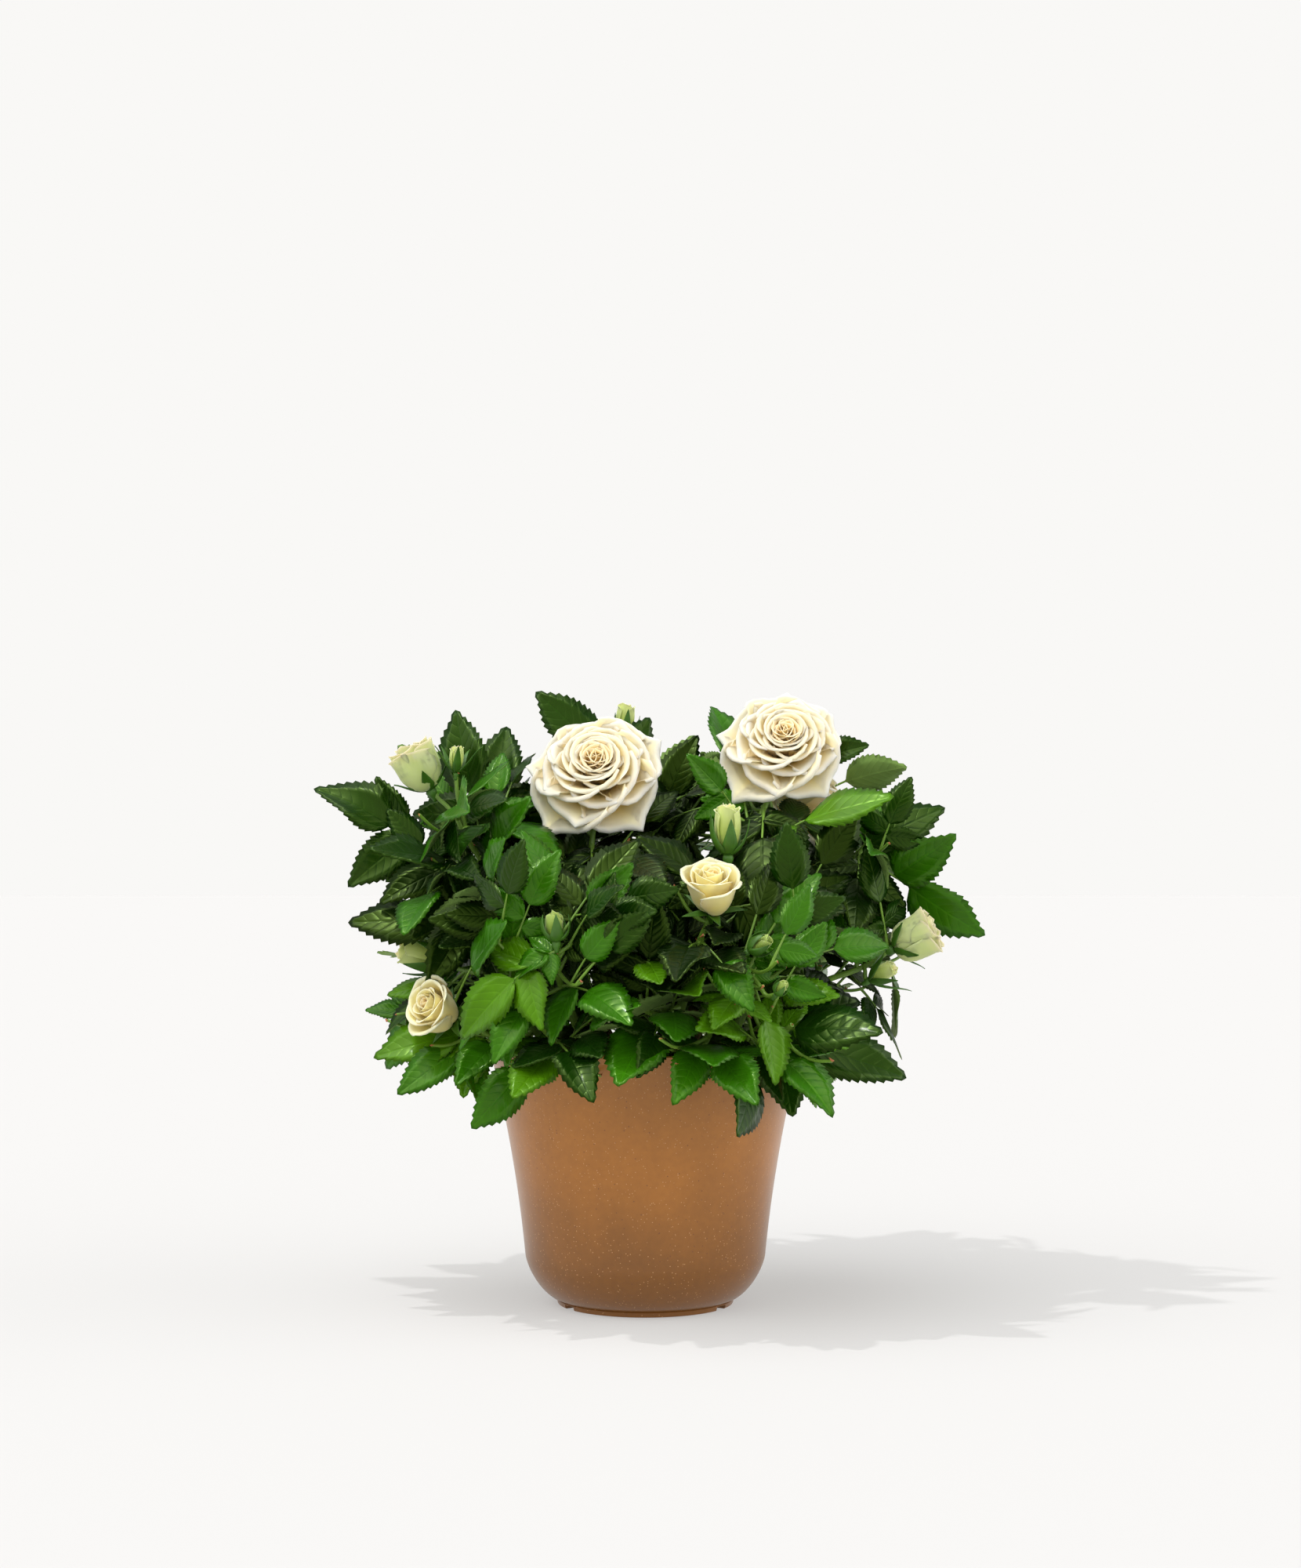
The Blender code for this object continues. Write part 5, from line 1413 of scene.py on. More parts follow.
class ROSE_BUSH_OT_medium(bpy.types.Operator):
    """Fills the pot with lumpy growing medium and scatters crumbs over it"""

    bl_idname = "rose_bush.medium"
    bl_label = "Fill the pot"

    def execute(self, context):
        settings = context.scene.rose_bush_pot
        crumbs = hidden_holder("crumb", crumb_meshes(random.Random(SEED)))
        tree = crumb_tree(crumbs, soil_material(tuple(settings.soil)))
        mesh = grown("growing_medium_crumb", soil_surface(), tree, {"Crumb": settings.crumb})
        drop_holder(crumbs)
        hand_over("growing_medium_crumb", smoothed(mesh, 50.0), ["growing_medium"])
        return {"FINISHED"}


# Wood and twigs: steps along and sides round each kind of limb, how a woody limb swells at its root,
# and a prickle's rings as (out, half width, half height, sag) in shares of its length
STEM_LINE = 34
SHOOT_LINE = 26
TWIG_LINE = 12
STALK_LINE = 5
WOOD_SIDES = 14
GREEN_SIDES = 8
STALK_SIDES = 5
WOOD_SWELL = {"stem": (STEM_FLARE, 1.12), "bough": (1.2, 1.0)}
STALK_RADII = (0.0011, FINE_STALK_RADIUS, FINE_STALK_RADIUS * 0.9)
SMALL_STALK = 0.7
PRICKLE_RINGS = ((0.0, 0.30, 0.62, 0.0), (0.35, 0.15, 0.34, -0.02), (0.75, 0.06, 0.12, -0.14))
PRICKLE_TIP = (1.0, 0.0, -0.32)
PRICKLE_SIDES = 5
PRICKLE_SINK = 0.86


def line_mesh(lines):
    """Lines as one mesh of edges, with the radius at each point."""
    points = []
    edges = []
    radii = []
    for places, sizes in lines:
        first = len(points)
        last = first + len(places) - 1
        points += places
        shares = np.arange(len(places)) / (len(places) - 1)
        radii += np.interp(shares, np.linspace(0.0, 1.0, len(sizes)), sizes).tolist()
        edges += zip(range(first, last), range(first + 1, last + 1))
    mesh = bpy.data.meshes.new("lines")
    mesh.from_pydata(points, edges, [])
    mesh.attributes.new("thick", "FLOAT", "POINT").data.foreach_set("value", radii)
    return mesh


def smooth_line(points, count):
    """More points along a limb, on a smooth curve through those that the rule gives."""
    line = []
    for index in range(count + 1):
        share = index / count * (len(points) - 1)
        at = min(int(share), len(points) - 2)
        t = share - at
        a = points[max(at - 1, 0)]
        b = points[at]
        c = points[at + 1]
        d = points[min(at + 2, len(points) - 1)]
        bend = (2 * a - 5 * b + 4 * c - d) * t * t
        hook = (3 * b - a - 3 * c + d) * t ** 3
        line.append(0.5 * (2 * b + (c - a) * t + bend + hook))
    return line


def prickle_mesh():
    """A rose prickle: a flat-based thorn one unit long that hooks down, along +X."""
    shape = bmesh.new()
    turns = [2 * math.pi * step / PRICKLE_SIDES for step in range(PRICKLE_SIDES)]
    loops = [[shape.verts.new((out, wide * math.cos(turn), tall * math.sin(turn) + sag)) for turn in turns]
             for out, wide, tall, sag in PRICKLE_RINGS]
    tip = shape.verts.new(PRICKLE_TIP)
    for low, high in zip(loops, loops[1:]):
        for step in range(PRICKLE_SIDES):
            after = (step + 1) % PRICKLE_SIDES
            shape.faces.new((low[step], low[after], high[after], high[step]))
    for step in range(PRICKLE_SIDES):
        shape.faces.new((loops[-1][step], loops[-1][(step + 1) % PRICKLE_SIDES], tip))
    shape.faces.new(list(reversed(loops[0])))
    bmesh.ops.recalc_face_normals(shape, faces=shape.faces)
    mesh = baked(shape, "prickle")
    mark = mesh.attributes.new("prickle", "BOOLEAN", "FACE")
    mark.data.foreach_set("value", [True] * len(mesh.polygons))
    return mesh


def limb_tree(name, sides, prickles, materials):
    """Tubes along lines, with uneven bark and with prickles set round them at an even spacing."""
    tree, start = new_tree(name, (("Bark relief", 0.0003), ("Prickle spacing", 0.011), ("Prickle", 0.0032)))
    curve = add_node(tree, "GeometryNodeMeshToCurve", {"Mesh": start["Geometry"]})
    thick = add_node(tree, "GeometryNodeInputNamedAttribute", {"Name": "thick"}, data_type="FLOAT")
    ring = add_node(tree, "GeometryNodeCurvePrimitiveCircle", {"Resolution": sides, "Radius": 1.0})
    sized = add_node(tree, "GeometryNodeSetCurveRadius", {"Curve": curve, "Radius": thick})
    tube = add_node(tree, "GeometryNodeCurveToMesh",
                    {"Curve": sized, "Profile Curve": ring, "Scale": thick, "Fill Caps": True})
    lumps = add_node(tree, "ShaderNodeTexNoise", {"Scale": 260.0, "Detail": 3.0})
    uneven = add_node(tree, "ShaderNodeMath", {0: lumps, 1: 0.5}, operation="SUBTRACT")
    swell = add_node(tree, "ShaderNodeMath", {0: uneven, 1: start["Bark relief"]}, operation="MULTIPLY")
    normal = add_node(tree, "GeometryNodeInputNormal", {})
    offset = add_node(tree, "ShaderNodeVectorMath", {0: normal, "Scale": swell}, operation="SCALE")
    bark = add_node(tree, "GeometryNodeSetPosition", {"Geometry": tube, "Offset": offset})
    both = add_node(tree, "GeometryNodeJoinGeometry", {0: bark})
    if prickles:
        spots = add_node(tree, "GeometryNodeCurveToPoints",
                         {"Curve": curve, "Length": start["Prickle spacing"]}, mode="LENGTH")
        size = add_node(tree, "FunctionNodeRandomValue", {2: 0.55, 3: 1.0, "Seed": 8}, data_type="FLOAT")
        scale = add_node(tree, "ShaderNodeMath", {0: size, 1: start["Prickle"]}, operation="MULTIPLY")
        thorn = add_node(tree, "GeometryNodeCollectionInfo",
                         {"Collection": prickles, "Separate Children": True, "Reset Children": True})
        placed = add_node(tree, "GeometryNodeInstanceOnPoints",
                          {"Points": spots, "Instance": thorn, "Pick Instance": True,
                           "Rotation": spots.outputs["Rotation"], "Scale": scale})
        turn = add_node(tree, "FunctionNodeRandomValue", {2: 0.0, 3: FULL_TURN, "Seed": 9}, data_type="FLOAT")
        spin = add_node(tree, "ShaderNodeCombineXYZ", {"Z": turn})
        rotated = add_node(tree, "GeometryNodeRotateInstances", {"Instances": placed, "Rotation": spin})
        skin = add_node(tree, "ShaderNodeMath", {0: thick, 1: PRICKLE_SINK}, operation="MULTIPLY")
        out = add_node(tree, "ShaderNodeCombineXYZ", {"X": skin})
        moved = add_node(tree, "GeometryNodeTranslateInstances", {"Instances": rotated, "Translation": out})
        fill(tree, both, {0: moved})
    return end_tree(tree, add_node(tree, "GeometryNodeSetShadeSmooth", {"Geometry": both}), materials)


class ROSE_BUSH_OT_wood(bpy.types.Operator):
    """Gives the woody stems and boughs their bark and prickles"""

    bl_idname = "rose_bush.wood"
    bl_label = "Make the wood"

    def execute(self, context):
        settings = context.scene.rose_bush_leaf
        limbs, _shoots = planted()
        prickles = hidden_holder("prickle", [prickle_mesh()])
        bark = bark_material("woody_rose_bark", tuple(settings.bark))
        young = twig_material("young_green_bark", shaded(tuple(settings.twig), 0.75), 0.5)
        thorn = twig_material("red_prickle", linear("#8a4a2e"), 0.45)
        for kind, skin in (("stem", bark), ("bough", young)):
            tree = limb_tree("Bark on each " + kind, WOOD_SIDES, prickles, ((None, skin), ("prickle", thorn)))
            lines = []
            for limb in limbs.values():
                if limb.name.startswith(kind):
                    radii = [between(limb.radii, share) for share in np.linspace(0.0, 1.0, 7)]
                    radii[:2] = [radius * swell for radius, swell in zip(radii, WOOD_SWELL[kind])]
                    lines.append((smooth_line([limb.origin] + limb.points, STEM_LINE), radii))
            mesh = grown("woody_%ss" % kind, line_mesh(lines), tree,
                         {"Prickle spacing": settings.prickle_spacing})
            hand_over("woody_%ss" % kind, mesh, nodes_of(kind))
        drop_holder(prickles)
        return {"FINISHED"}


class ROSE_BUSH_OT_twigs(bpy.types.Operator):
    """Makes the green stems of the shoots, their side twigs, flower stalks and leaf stalks"""

    bl_idname = "rose_bush.twigs"
    bl_label = "Make the twigs"

    def execute(self, context):
        settings = context.scene.rose_bush_leaf
        _limbs, shoots = planted()
        prickles = hidden_holder("prickle", [prickle_mesh()])
        green = twig_material("green_rose_twig", tuple(settings.twig), 0.42)
        thorn = twig_material("young_prickle", linear("#a8643a"), 0.45)
        thick = limb_tree("Green stems", GREEN_SIDES, prickles, ((None, green), ("prickle", thorn)))
        fine = limb_tree("Leaf stalks", STALK_SIDES, None, ((None, green),))
        stems = []
        stalks = []
        for shoot in shoots:
            stems.append((smooth_line([shoot.stem.origin] + shoot.stem.points, SHOOT_LINE), shoot.stem.radii))
            for twig in shoot.stalks + shoot.twigs:
                stems.append((smooth_line(twig.points, TWIG_LINE), twig.radii))
            for leaf in shoot.fine:
                base, middle, top = STALK_RADII
                size = 1.0 if leaf.place == "large" else SMALL_STALK
                stalks.append((smooth_line(leaf.stalk, STALK_LINE), (base * size, middle, top * size)))
        mesh = grown("green_stems", line_mesh(stems), thick,
                     {"Prickle spacing": settings.prickle_spacing * 1.3, "Bark relief": 0.0001,
                      "Prickle": 0.0024})
        hand_over("green_stems", mesh, nodes_of("shoot"))
        mesh = grown("leaf_stalks", line_mesh(stalks), fine, {"Bark relief": 0.0})
        hand_over("leaf_stalks", mesh, nodes_of("shoot"))
        drop_holder(prickles)
        return {"FINISHED"}


# Leaves: half the outline of a rose leaflet as (share of its length, share of its width), the places
# of the teeth along its margin, and how far each line of the leaflet stands up
OUTLINE = ((0.0, 0.010), (0.035, 0.014), (0.055, 0.13), (0.14, 0.34), (0.26, 0.465), (0.38, 0.50),
           (0.53, 0.47), (0.68, 0.375), (0.80, 0.25), (0.89, 0.135), (0.96, 0.05), (1.0, 0.0))
TEETH = 12
RIBS = (0.0, 0.05, 0.16, 0.30, 0.44, 0.58, 0.71, 0.83, 0.93, 1.0)
BLADE_MIDDLE = 0.52
RIB_LIFT = -0.004
KEEL_LIFT = -0.018
TOP_LIFT = 0.006
UNDER_LIFT = -0.010
TOOTH = 0.036
TOOTH_START = 0.04
TOOTHED = 0.93
TOOTH_PEAK = 0.72
TOOTH_LEAN = 0.012
NOTCH_SHARE = 0.965
LEAF_COATS = {"inner": 0.0, "deep": 0.08, "middle": 0.16, "bright": 0.16}
LEAF_FORMS = 12

# Tones of the leaves: the crown's half width, half depth, middle height and half height, the share of
# it within which leaves take the near-black inner green as painted shade and how that share spreads,
# and the shares of leaves that are bright and middle green in the crown's parts
CROWN_ROUND = (0.150, 0.112, 0.180, 0.100)
PAINTED_SHADE_REACH = 0.62
INSIDE_SPREAD = 0.16
BRIGHT = 0.05
BRIGHT_FRONT = 0.32
BRIGHT_RIGHT = 0.15
BRIGHT_SMALL = 0.05
MIDDLE_HIGH = 0.22
MIDDLE_LOW = 0.70


def half_width(share):
    return float(np.interp(share, [point[0] for point in OUTLINE], [point[1] for point in OUTLINE]))


def strip(first, second):
    """Triangles between two lines of (share, index) that run the same way."""
    faces = []
    i = 0
    j = 0
    while i < len(first) - 1 or j < len(second) - 1:
        if j == len(second) - 1 or (i < len(first) - 1 and first[i + 1][0] <= second[j + 1][0]):
            corners = (first[i][1], first[i + 1][1], second[j][1])
            i += 1
        else:
            corners = (first[i][1], second[j + 1][1], second[j][1])
            j += 1
        if len(set(corners)) == 3:
            faces.append(corners)
    return faces


def leaflet_mesh(rng):
    """One serrated leaflet, a unit long and wide: folded along its midrib, drooping and a little twisted."""
    fold = rng.uniform(0.05, 0.45)
    droop = rng.uniform(0.04, 0.28)
    twist = rng.uniform(-0.40, 0.40)
    curl = rng.uniform(-0.03, 0.07)
    wave = rng.uniform(0.0, 0.050)
    phase = rng.uniform(0.0, FULL_TURN)
    points = []
    maps = []

    def add(x, y, lift):
        edge = abs(2 * x)
        wavy = wave * edge * math.sin(9.0 * y + phase + 2.0 * x)
        z = fold * abs(x) * 0.6 - droop * y * y - curl * edge ** 3 + wavy + lift
        turn = twist * y
        points.append((x * math.cos(turn) - z * math.sin(turn), y,
                       x * math.sin(turn) * 0.6 + z * math.cos(turn)))
        maps.append((x + 0.5, y))
        return len(points) - 1

    base = add(0.0, 0.0, 0.0)
    tip = add(0.0, 1.0, 0.0)

    def line(aside, lift):
        inside = [(share, add(aside * half_width(share), share, lift)) for share in RIBS[1:-1]]
        return [(0.0, base)] + inside + [(1.0, tip)]

    rib = line(0.0, RIB_LIFT)
    keel = line(0.0, KEEL_LIFT)
    top = []
    under = []
    for hand in (-1.0, 1.0):
        margin = [(0.0, base)]
        for step in range(TEETH):
            low = TOOTH_START + TOOTHED * step / TEETH
            high = TOOTH_START + TOOTHED * (step + TOOTH_PEAK) / TEETH
            margin.append((low, add(hand * half_width(low) * NOTCH_SHARE, low, 0.0)))
            margin.append((high, add(hand * (half_width(high) + TOOTH), high + TOOTH_LEAN, 0.0)))
        margin.append((1.0, tip))
        inner = line(hand * BLADE_MIDDLE, TOP_LIFT)
        below = line(hand * BLADE_MIDDLE, UNDER_LIFT)
        top += strip(margin, inner) + strip(inner, rib)
        under += strip(margin, below) + strip(below, keel)
    mesh = bpy.data.meshes.new("leaflet")
    mesh.from_pydata(points, [], top + under)
    tidied(mesh, None)
    layer = mesh.uv_layers.new(name="UVMap")
    for loop in mesh.loops:
        layer.data[loop.index].uv = maps[loop.vertex_index]
    mark = mesh.attributes.new("underside", "BOOLEAN", "FACE")
    mark.data.foreach_set("value", [index >= len(top) for index in range(len(mesh.polygons))])
    return mesh


def leaflet_points(leaflets, rng):
    """A point for each leaflet, which carries its turn, its size and which form it takes."""
    mesh = bpy.data.meshes.new("leaflet_points")
    mesh.from_pydata([root for root, _tip, _normal, _width in leaflets], [], [])
    turns = []
    sizes = []
    for root, tip, normal, width in leaflets:
        length = (tip - root).length
        forward = (tip - root) / length
        normal = square_to(normal, forward)
        side = forward.cross(normal)
        turns += Matrix((side, forward, normal)).transposed().to_euler()[:]
        sizes += (width, length, length)
    forms = [rng.randrange(LEAF_FORMS) for _ in leaflets]
    mesh.attributes.new("turn", "FLOAT_VECTOR", "POINT").data.foreach_set("vector", turns)
    mesh.attributes.new("size", "FLOAT_VECTOR", "POINT").data.foreach_set("vector", sizes)
    mesh.attributes.new("form", "INT", "POINT").data.foreach_set("value", forms)
    return mesh


def leaf_tree(forms, materials):
    """Puts a leaflet on each point by the turn, size and form that the point carries."""
    tree, start = new_tree("Leaflets on their stalks", (("Leaflet size", 1.0),))
    turn = add_node(tree, "GeometryNodeInputNamedAttribute", {"Name": "turn"}, data_type="FLOAT_VECTOR")
    size = add_node(tree, "GeometryNodeInputNamedAttribute", {"Name": "size"}, data_type="FLOAT_VECTOR")
    form = add_node(tree, "GeometryNodeInputNamedAttribute", {"Name": "form"}, data_type="INT")
    rotation = add_node(tree, "FunctionNodeEulerToRotation", {"Euler": turn})
    scale = add_node(tree, "ShaderNodeVectorMath", {0: size, "Scale": start["Leaflet size"]},
                     operation="SCALE")
    shapes = add_node(tree, "GeometryNodeCollectionInfo",
                      {"Collection": forms, "Separate Children": True, "Reset Children": True})
    placed = add_node(tree, "GeometryNodeInstanceOnPoints",
                      {"Points": start["Geometry"], "Instance": shapes, "Pick Instance": True,
                       "Instance Index": form, "Rotation": rotation, "Scale": scale})
    return end_tree(tree, add_node(tree, "GeometryNodeSetShadeSmooth", {"Geometry": placed}), materials)


def leaf_tone(leaf):
    """The leaf's green: near-black inside the crown as painted shade, brighter low at the front and to the
    right.
    """
    place = leaf.stalk[-1]
    wide, deep, middle_height, tall = CROWN_ROUND
    inside = math.hypot(place.x / wide, place.y / deep, (place.z - middle_height) / tall)
    if inside < PAINTED_SHADE_REACH + INSIDE_SPREAD * leaf.shade:
        return "inner"
    bright = BRIGHT
    if place.y < -0.035 and place.z < 0.165:
        bright = BRIGHT_FRONT
    if place.x > 0.03 and place.z < 0.150:
        bright += BRIGHT_RIGHT
    if leaf.place == "small":
        bright += BRIGHT_SMALL
    if leaf.shade < bright:
        return "bright"
    middle = MIDDLE_HIGH if place.z > 0.17 else MIDDLE_LOW
    return "middle" if leaf.shade < bright + middle * (1 - bright) else "deep"


class ROSE_BUSH_OT_leaves(bpy.types.Operator):
    """Puts a serrated leaflet on every place that the planting rule gives, in four greens"""

    bl_idname = "rose_bush.leaves"
    bl_label = "Make the leaves"

    def execute(self, context):
        settings = context.scene.rose_bush_leaf
        _limbs, shoots = planted()
        rng = random.Random(SEED)
        forms = hidden_holder("leaflet", [leaflet_mesh(rng) for _ in range(LEAF_FORMS)])
        under = leaf_material("leaf_underside", tuple(settings.under), 0.60, -0.9, 0.0)
        leaves = {tone: [] for tone in LEAF_COATS}
        for shoot in shoots:
            for leaf in shoot.fine:
                leaves[leaf_tone(leaf)] += leaf.leaflets
        # The inner tone's near-black green is painted shade for the leaves inside the crown
        for tone, leaflets in leaves.items():
            skin = leaf_material("%s_green_leaf" % tone, tuple(getattr(settings, tone)), 0.30, 1.0,
                                 LEAF_COATS[tone])
            tree = leaf_tree(forms, ((None, skin), ("underside", under)))
            mesh = grown("%s_leaves" % tone, leaflet_points(leaflets, rng), tree,
                         {"Leaflet size": settings.size})
            hand_over("%s_leaves" % tone, mesh, nodes_of("shoot"))
        drop_holder(forms)
        return {"FINISHED"}


# Roses. Each kind of flower is given by its innermost and its outermost petal, and every petal
# between is worked out from the two. Lengths are in shares of the head's half width. Leans are in
# degrees from the head's own axis, at the base, in the middle and at the rim. Tilt lifts the axis,
# drop is how far the rim falls to its sides, tip how far its middle stands out, and lip and roll
# are the length of the rolled rim and how far it turns over. The hip is given by its half width, and
# the sepals by their lean, length and width.
FLOWER_KINDS = ("rose", "young_rose", "spent_rose", "bud", "green_bud")
FLOWER_FIELDS = {
    "count": (35, 17, 13, 7, 5),
    "tilt": (-2.0, 14.0, 0.0, 0.0, 0.0),
    "base": ((-0.10, -0.70), (-0.85, -0.95), (-0.92, -0.98), (-1.30, -1.34), (-0.86, -0.90)),
    "root": ((0.02, 0.12), (0.03, 0.12), (0.05, 0.16), (0.05, 0.12), (0.05, 0.12)),
    "length": ((0.34, 0.88), (1.28, 1.52), (1.50, 1.74), (2.60, 2.70), (1.85, 1.95)),
    "width": ((0.22, 0.84), (0.28, 0.98), (0.46, 0.98), (0.62, 1.02), (0.62, 0.9)),
    "lean": (((6.0, 0.0, -12.0), (88.0, 38.0, 88.0)), ((8.0, 0.0, -14.0), (96.0, -18.0, 30.0)),
             ((24.0, 0.0, -6.0), (98.0, -22.0, 6.0)), ((14.0, 2.0, -6.0), (54.0, -6.0, -8.0)),
             ((12.0, 0.0, -14.0), (60.0, -4.0, -26.0))),
    "lean_power": (1.2, 1.25, 1.0, 1.0, 1.0),
    "wrap": ((0.10, 0.62), (0.12, 0.66), (0.30, 0.62), (0.34, 0.66), (0.34, 0.66)),
    "drop": ((0.30, 0.26), (0.22, 0.26), (0.14, 0.12), (0.10, 0.08), (0.12, 0.16)),
    "tip": ((0.0, 0.24), (0.0, 0.02), (0.05, 0.0), (0.04, 0.0), (0.0, 0.0)),
    "lip": ((0.05, 0.13), (0.04, 0.17), (0.10, 0.14), (0.05, 0.14), (0.02, 0.02)),
    "roll": ((70.0, 118.0), (10.0, 125.0), (30.0, 70.0), (20.0, 120.0), (0.0, 0.0)),
    "slant": (0.14, 0.12, 0.12, 0.12, 0.10),
    "ruffle": (0.004, 0.012, 0.17, 0.02, 0.0),
    "tones": (("heart", "heart", "cream", "cream", "ivory", "ivory"),
              ("heart", "yellow", "yellow", "yellow", "yellow"),
              ("frayed",), ("yellow", "lime", "lime"), ("green",)),
    "sepals": (((120.0, 150.0, 165.0), 0.62, 0.15), ((80.0, 60.0, 95.0), 0.95, 0.24),
               ((76.0, 24.0, 60.0), 1.15, 0.30), ((64.0, 2.0, 4.0), 2.45, 0.60),
               ((76.0, 2.0, -22.0), 2.10, 0.60)),
    "hip": (0.11, 0.17, 0.19, 0.30, 0.30),
}
PETALS = {kind: {field: values[at] for field, values in FLOWER_FIELDS.items()}
          for at, kind in enumerate(FLOWER_KINDS)}

# Colours of the petals where they come from the hip; their rims take the panel's colours
PETAL_BASES = {"heart": "#fdd888", "cream": "#fddc8e", "ivory": "#fde49e", "yellow": "#f4dc84",
               "lime": "#b4c860", "frayed": "#c2d084", "green": "#7f9c34"}

# Shares of the petal between which its base colour turns into its rim's
RIM_TURNS = (0.40, 0.92)
FRAYED_TURNS = (0.55, 1.0)
PETAL_COLUMNS = (0.0, 0.09, 0.2, 0.34, 0.5, 0.68, 0.86, 1.0)
PETAL_ROWS = 8
LIP_ROWS = 4
PETAL_THICKNESS = 0.00022

# Shares of a petal's width from its middle to where its tip and where its full roll starts
TIP_HALF = 0.26
ROLL_HALF = 0.3
BASE_WIDTH = 0.26
SEPALS = 5
SEPAL_COLUMNS = (0.0, 0.5, 1.0)
SEPAL_THICKNESS = 0.0005
LONG_SEPALED = 0.012
CLASPING_LEAN = 40.0
HIP_SIDES = 12
THINNEST = 0.00001
ROSE_LIFT = 0.0035
ROSE_SHARE = 0.96


class Sheets:
    """Many thin closed sheets, gathered into one mesh with a material slot for each."""

    def __init__(self):
        self.points = []
        self.faces = []
        self.slots = []
        self.rims = []
        self.total = 0

    def add(self, front, back, slot):
        """A sheet of two grids of points, closed round its rim."""
        rows, columns = front.shape[:2]
        size = rows * columns
        index = np.arange(size).reshape(rows, columns) + self.total
        face = np.stack([index[:-1, :-1], index[:-1, 1:], index[1:, 1:], index[1:, :-1]],
                        axis=-1).reshape(-1, 4)
        rim = np.concatenate([index[0, :], index[1:, -1], index[-1, -2::-1], index[-2:0:-1, 0]])
        after = np.roll(rim, -1)
        walls = np.stack([rim, rim + size, after + size, after], axis=-1)
        rims = np.repeat(np.linspace(0.0, 1.0, rows), columns).tolist()
        faces = np.concatenate([face, face[:, ::-1] + size, walls])
        self.keep(np.concatenate([front, back]), faces, slot, rims * 2)

    def add_round(self, grid):
        """A closed body of rings of points, in the first slot."""
        rings, sides = grid.shape[:2]
        index = np.arange(rings * sides).reshape(rings, sides) + self.total
        after = np.roll(index, -1, axis=1)
        faces = np.stack([index[:-1], after[:-1], after[1:], index[1:]], axis=-1).reshape(-1, 4)
        self.keep(grid, faces, 0, [0.0] * rings * sides)

    def keep(self, points, faces, slot, rims):
        self.points.append(points.reshape(-1, 3))
        self.faces.append(faces)
        self.slots += [slot] * len(faces)
        self.rims += rims
        self.total += len(rims)

    def mesh(self, name, materials):
        mesh = bpy.data.meshes.new(name)
        mesh.from_pydata(np.concatenate(self.points).tolist(), [], np.concatenate(self.faces).tolist())
        for material in materials:
            mesh.materials.append(material)
        mesh.polygons.foreach_set("material_index", self.slots)
        mesh.attributes.new("rim", "FLOAT", "POINT").data.foreach_set("value", self.rims)
        mesh.shade_smooth()
        mesh.update()
        return tidied(mesh, 0.00002)


def axes_of(flower):
    """The head's axis, lifted by its kind's tilt, and the direction across it where its turns start."""
    tilt = math.radians(PETALS[flower.kind]["tilt"])
    level = flower.facing.cross(Vector((0.0, 0.0, 1.0)))
    facing = flower.facing
    if tilt and level.length > 0.1:
        facing = Matrix.Rotation(tilt, 3, level.normalized()) @ facing
    return facing, facing.orthogonal().normalized()


def summed(lean, step, start, part):
    """Where a line gets to that leans like this, with the lean read half way along each step."""
    return start + np.cumsum(part((lean[1:] + lean[:-1]) / 2) * step, axis=0)


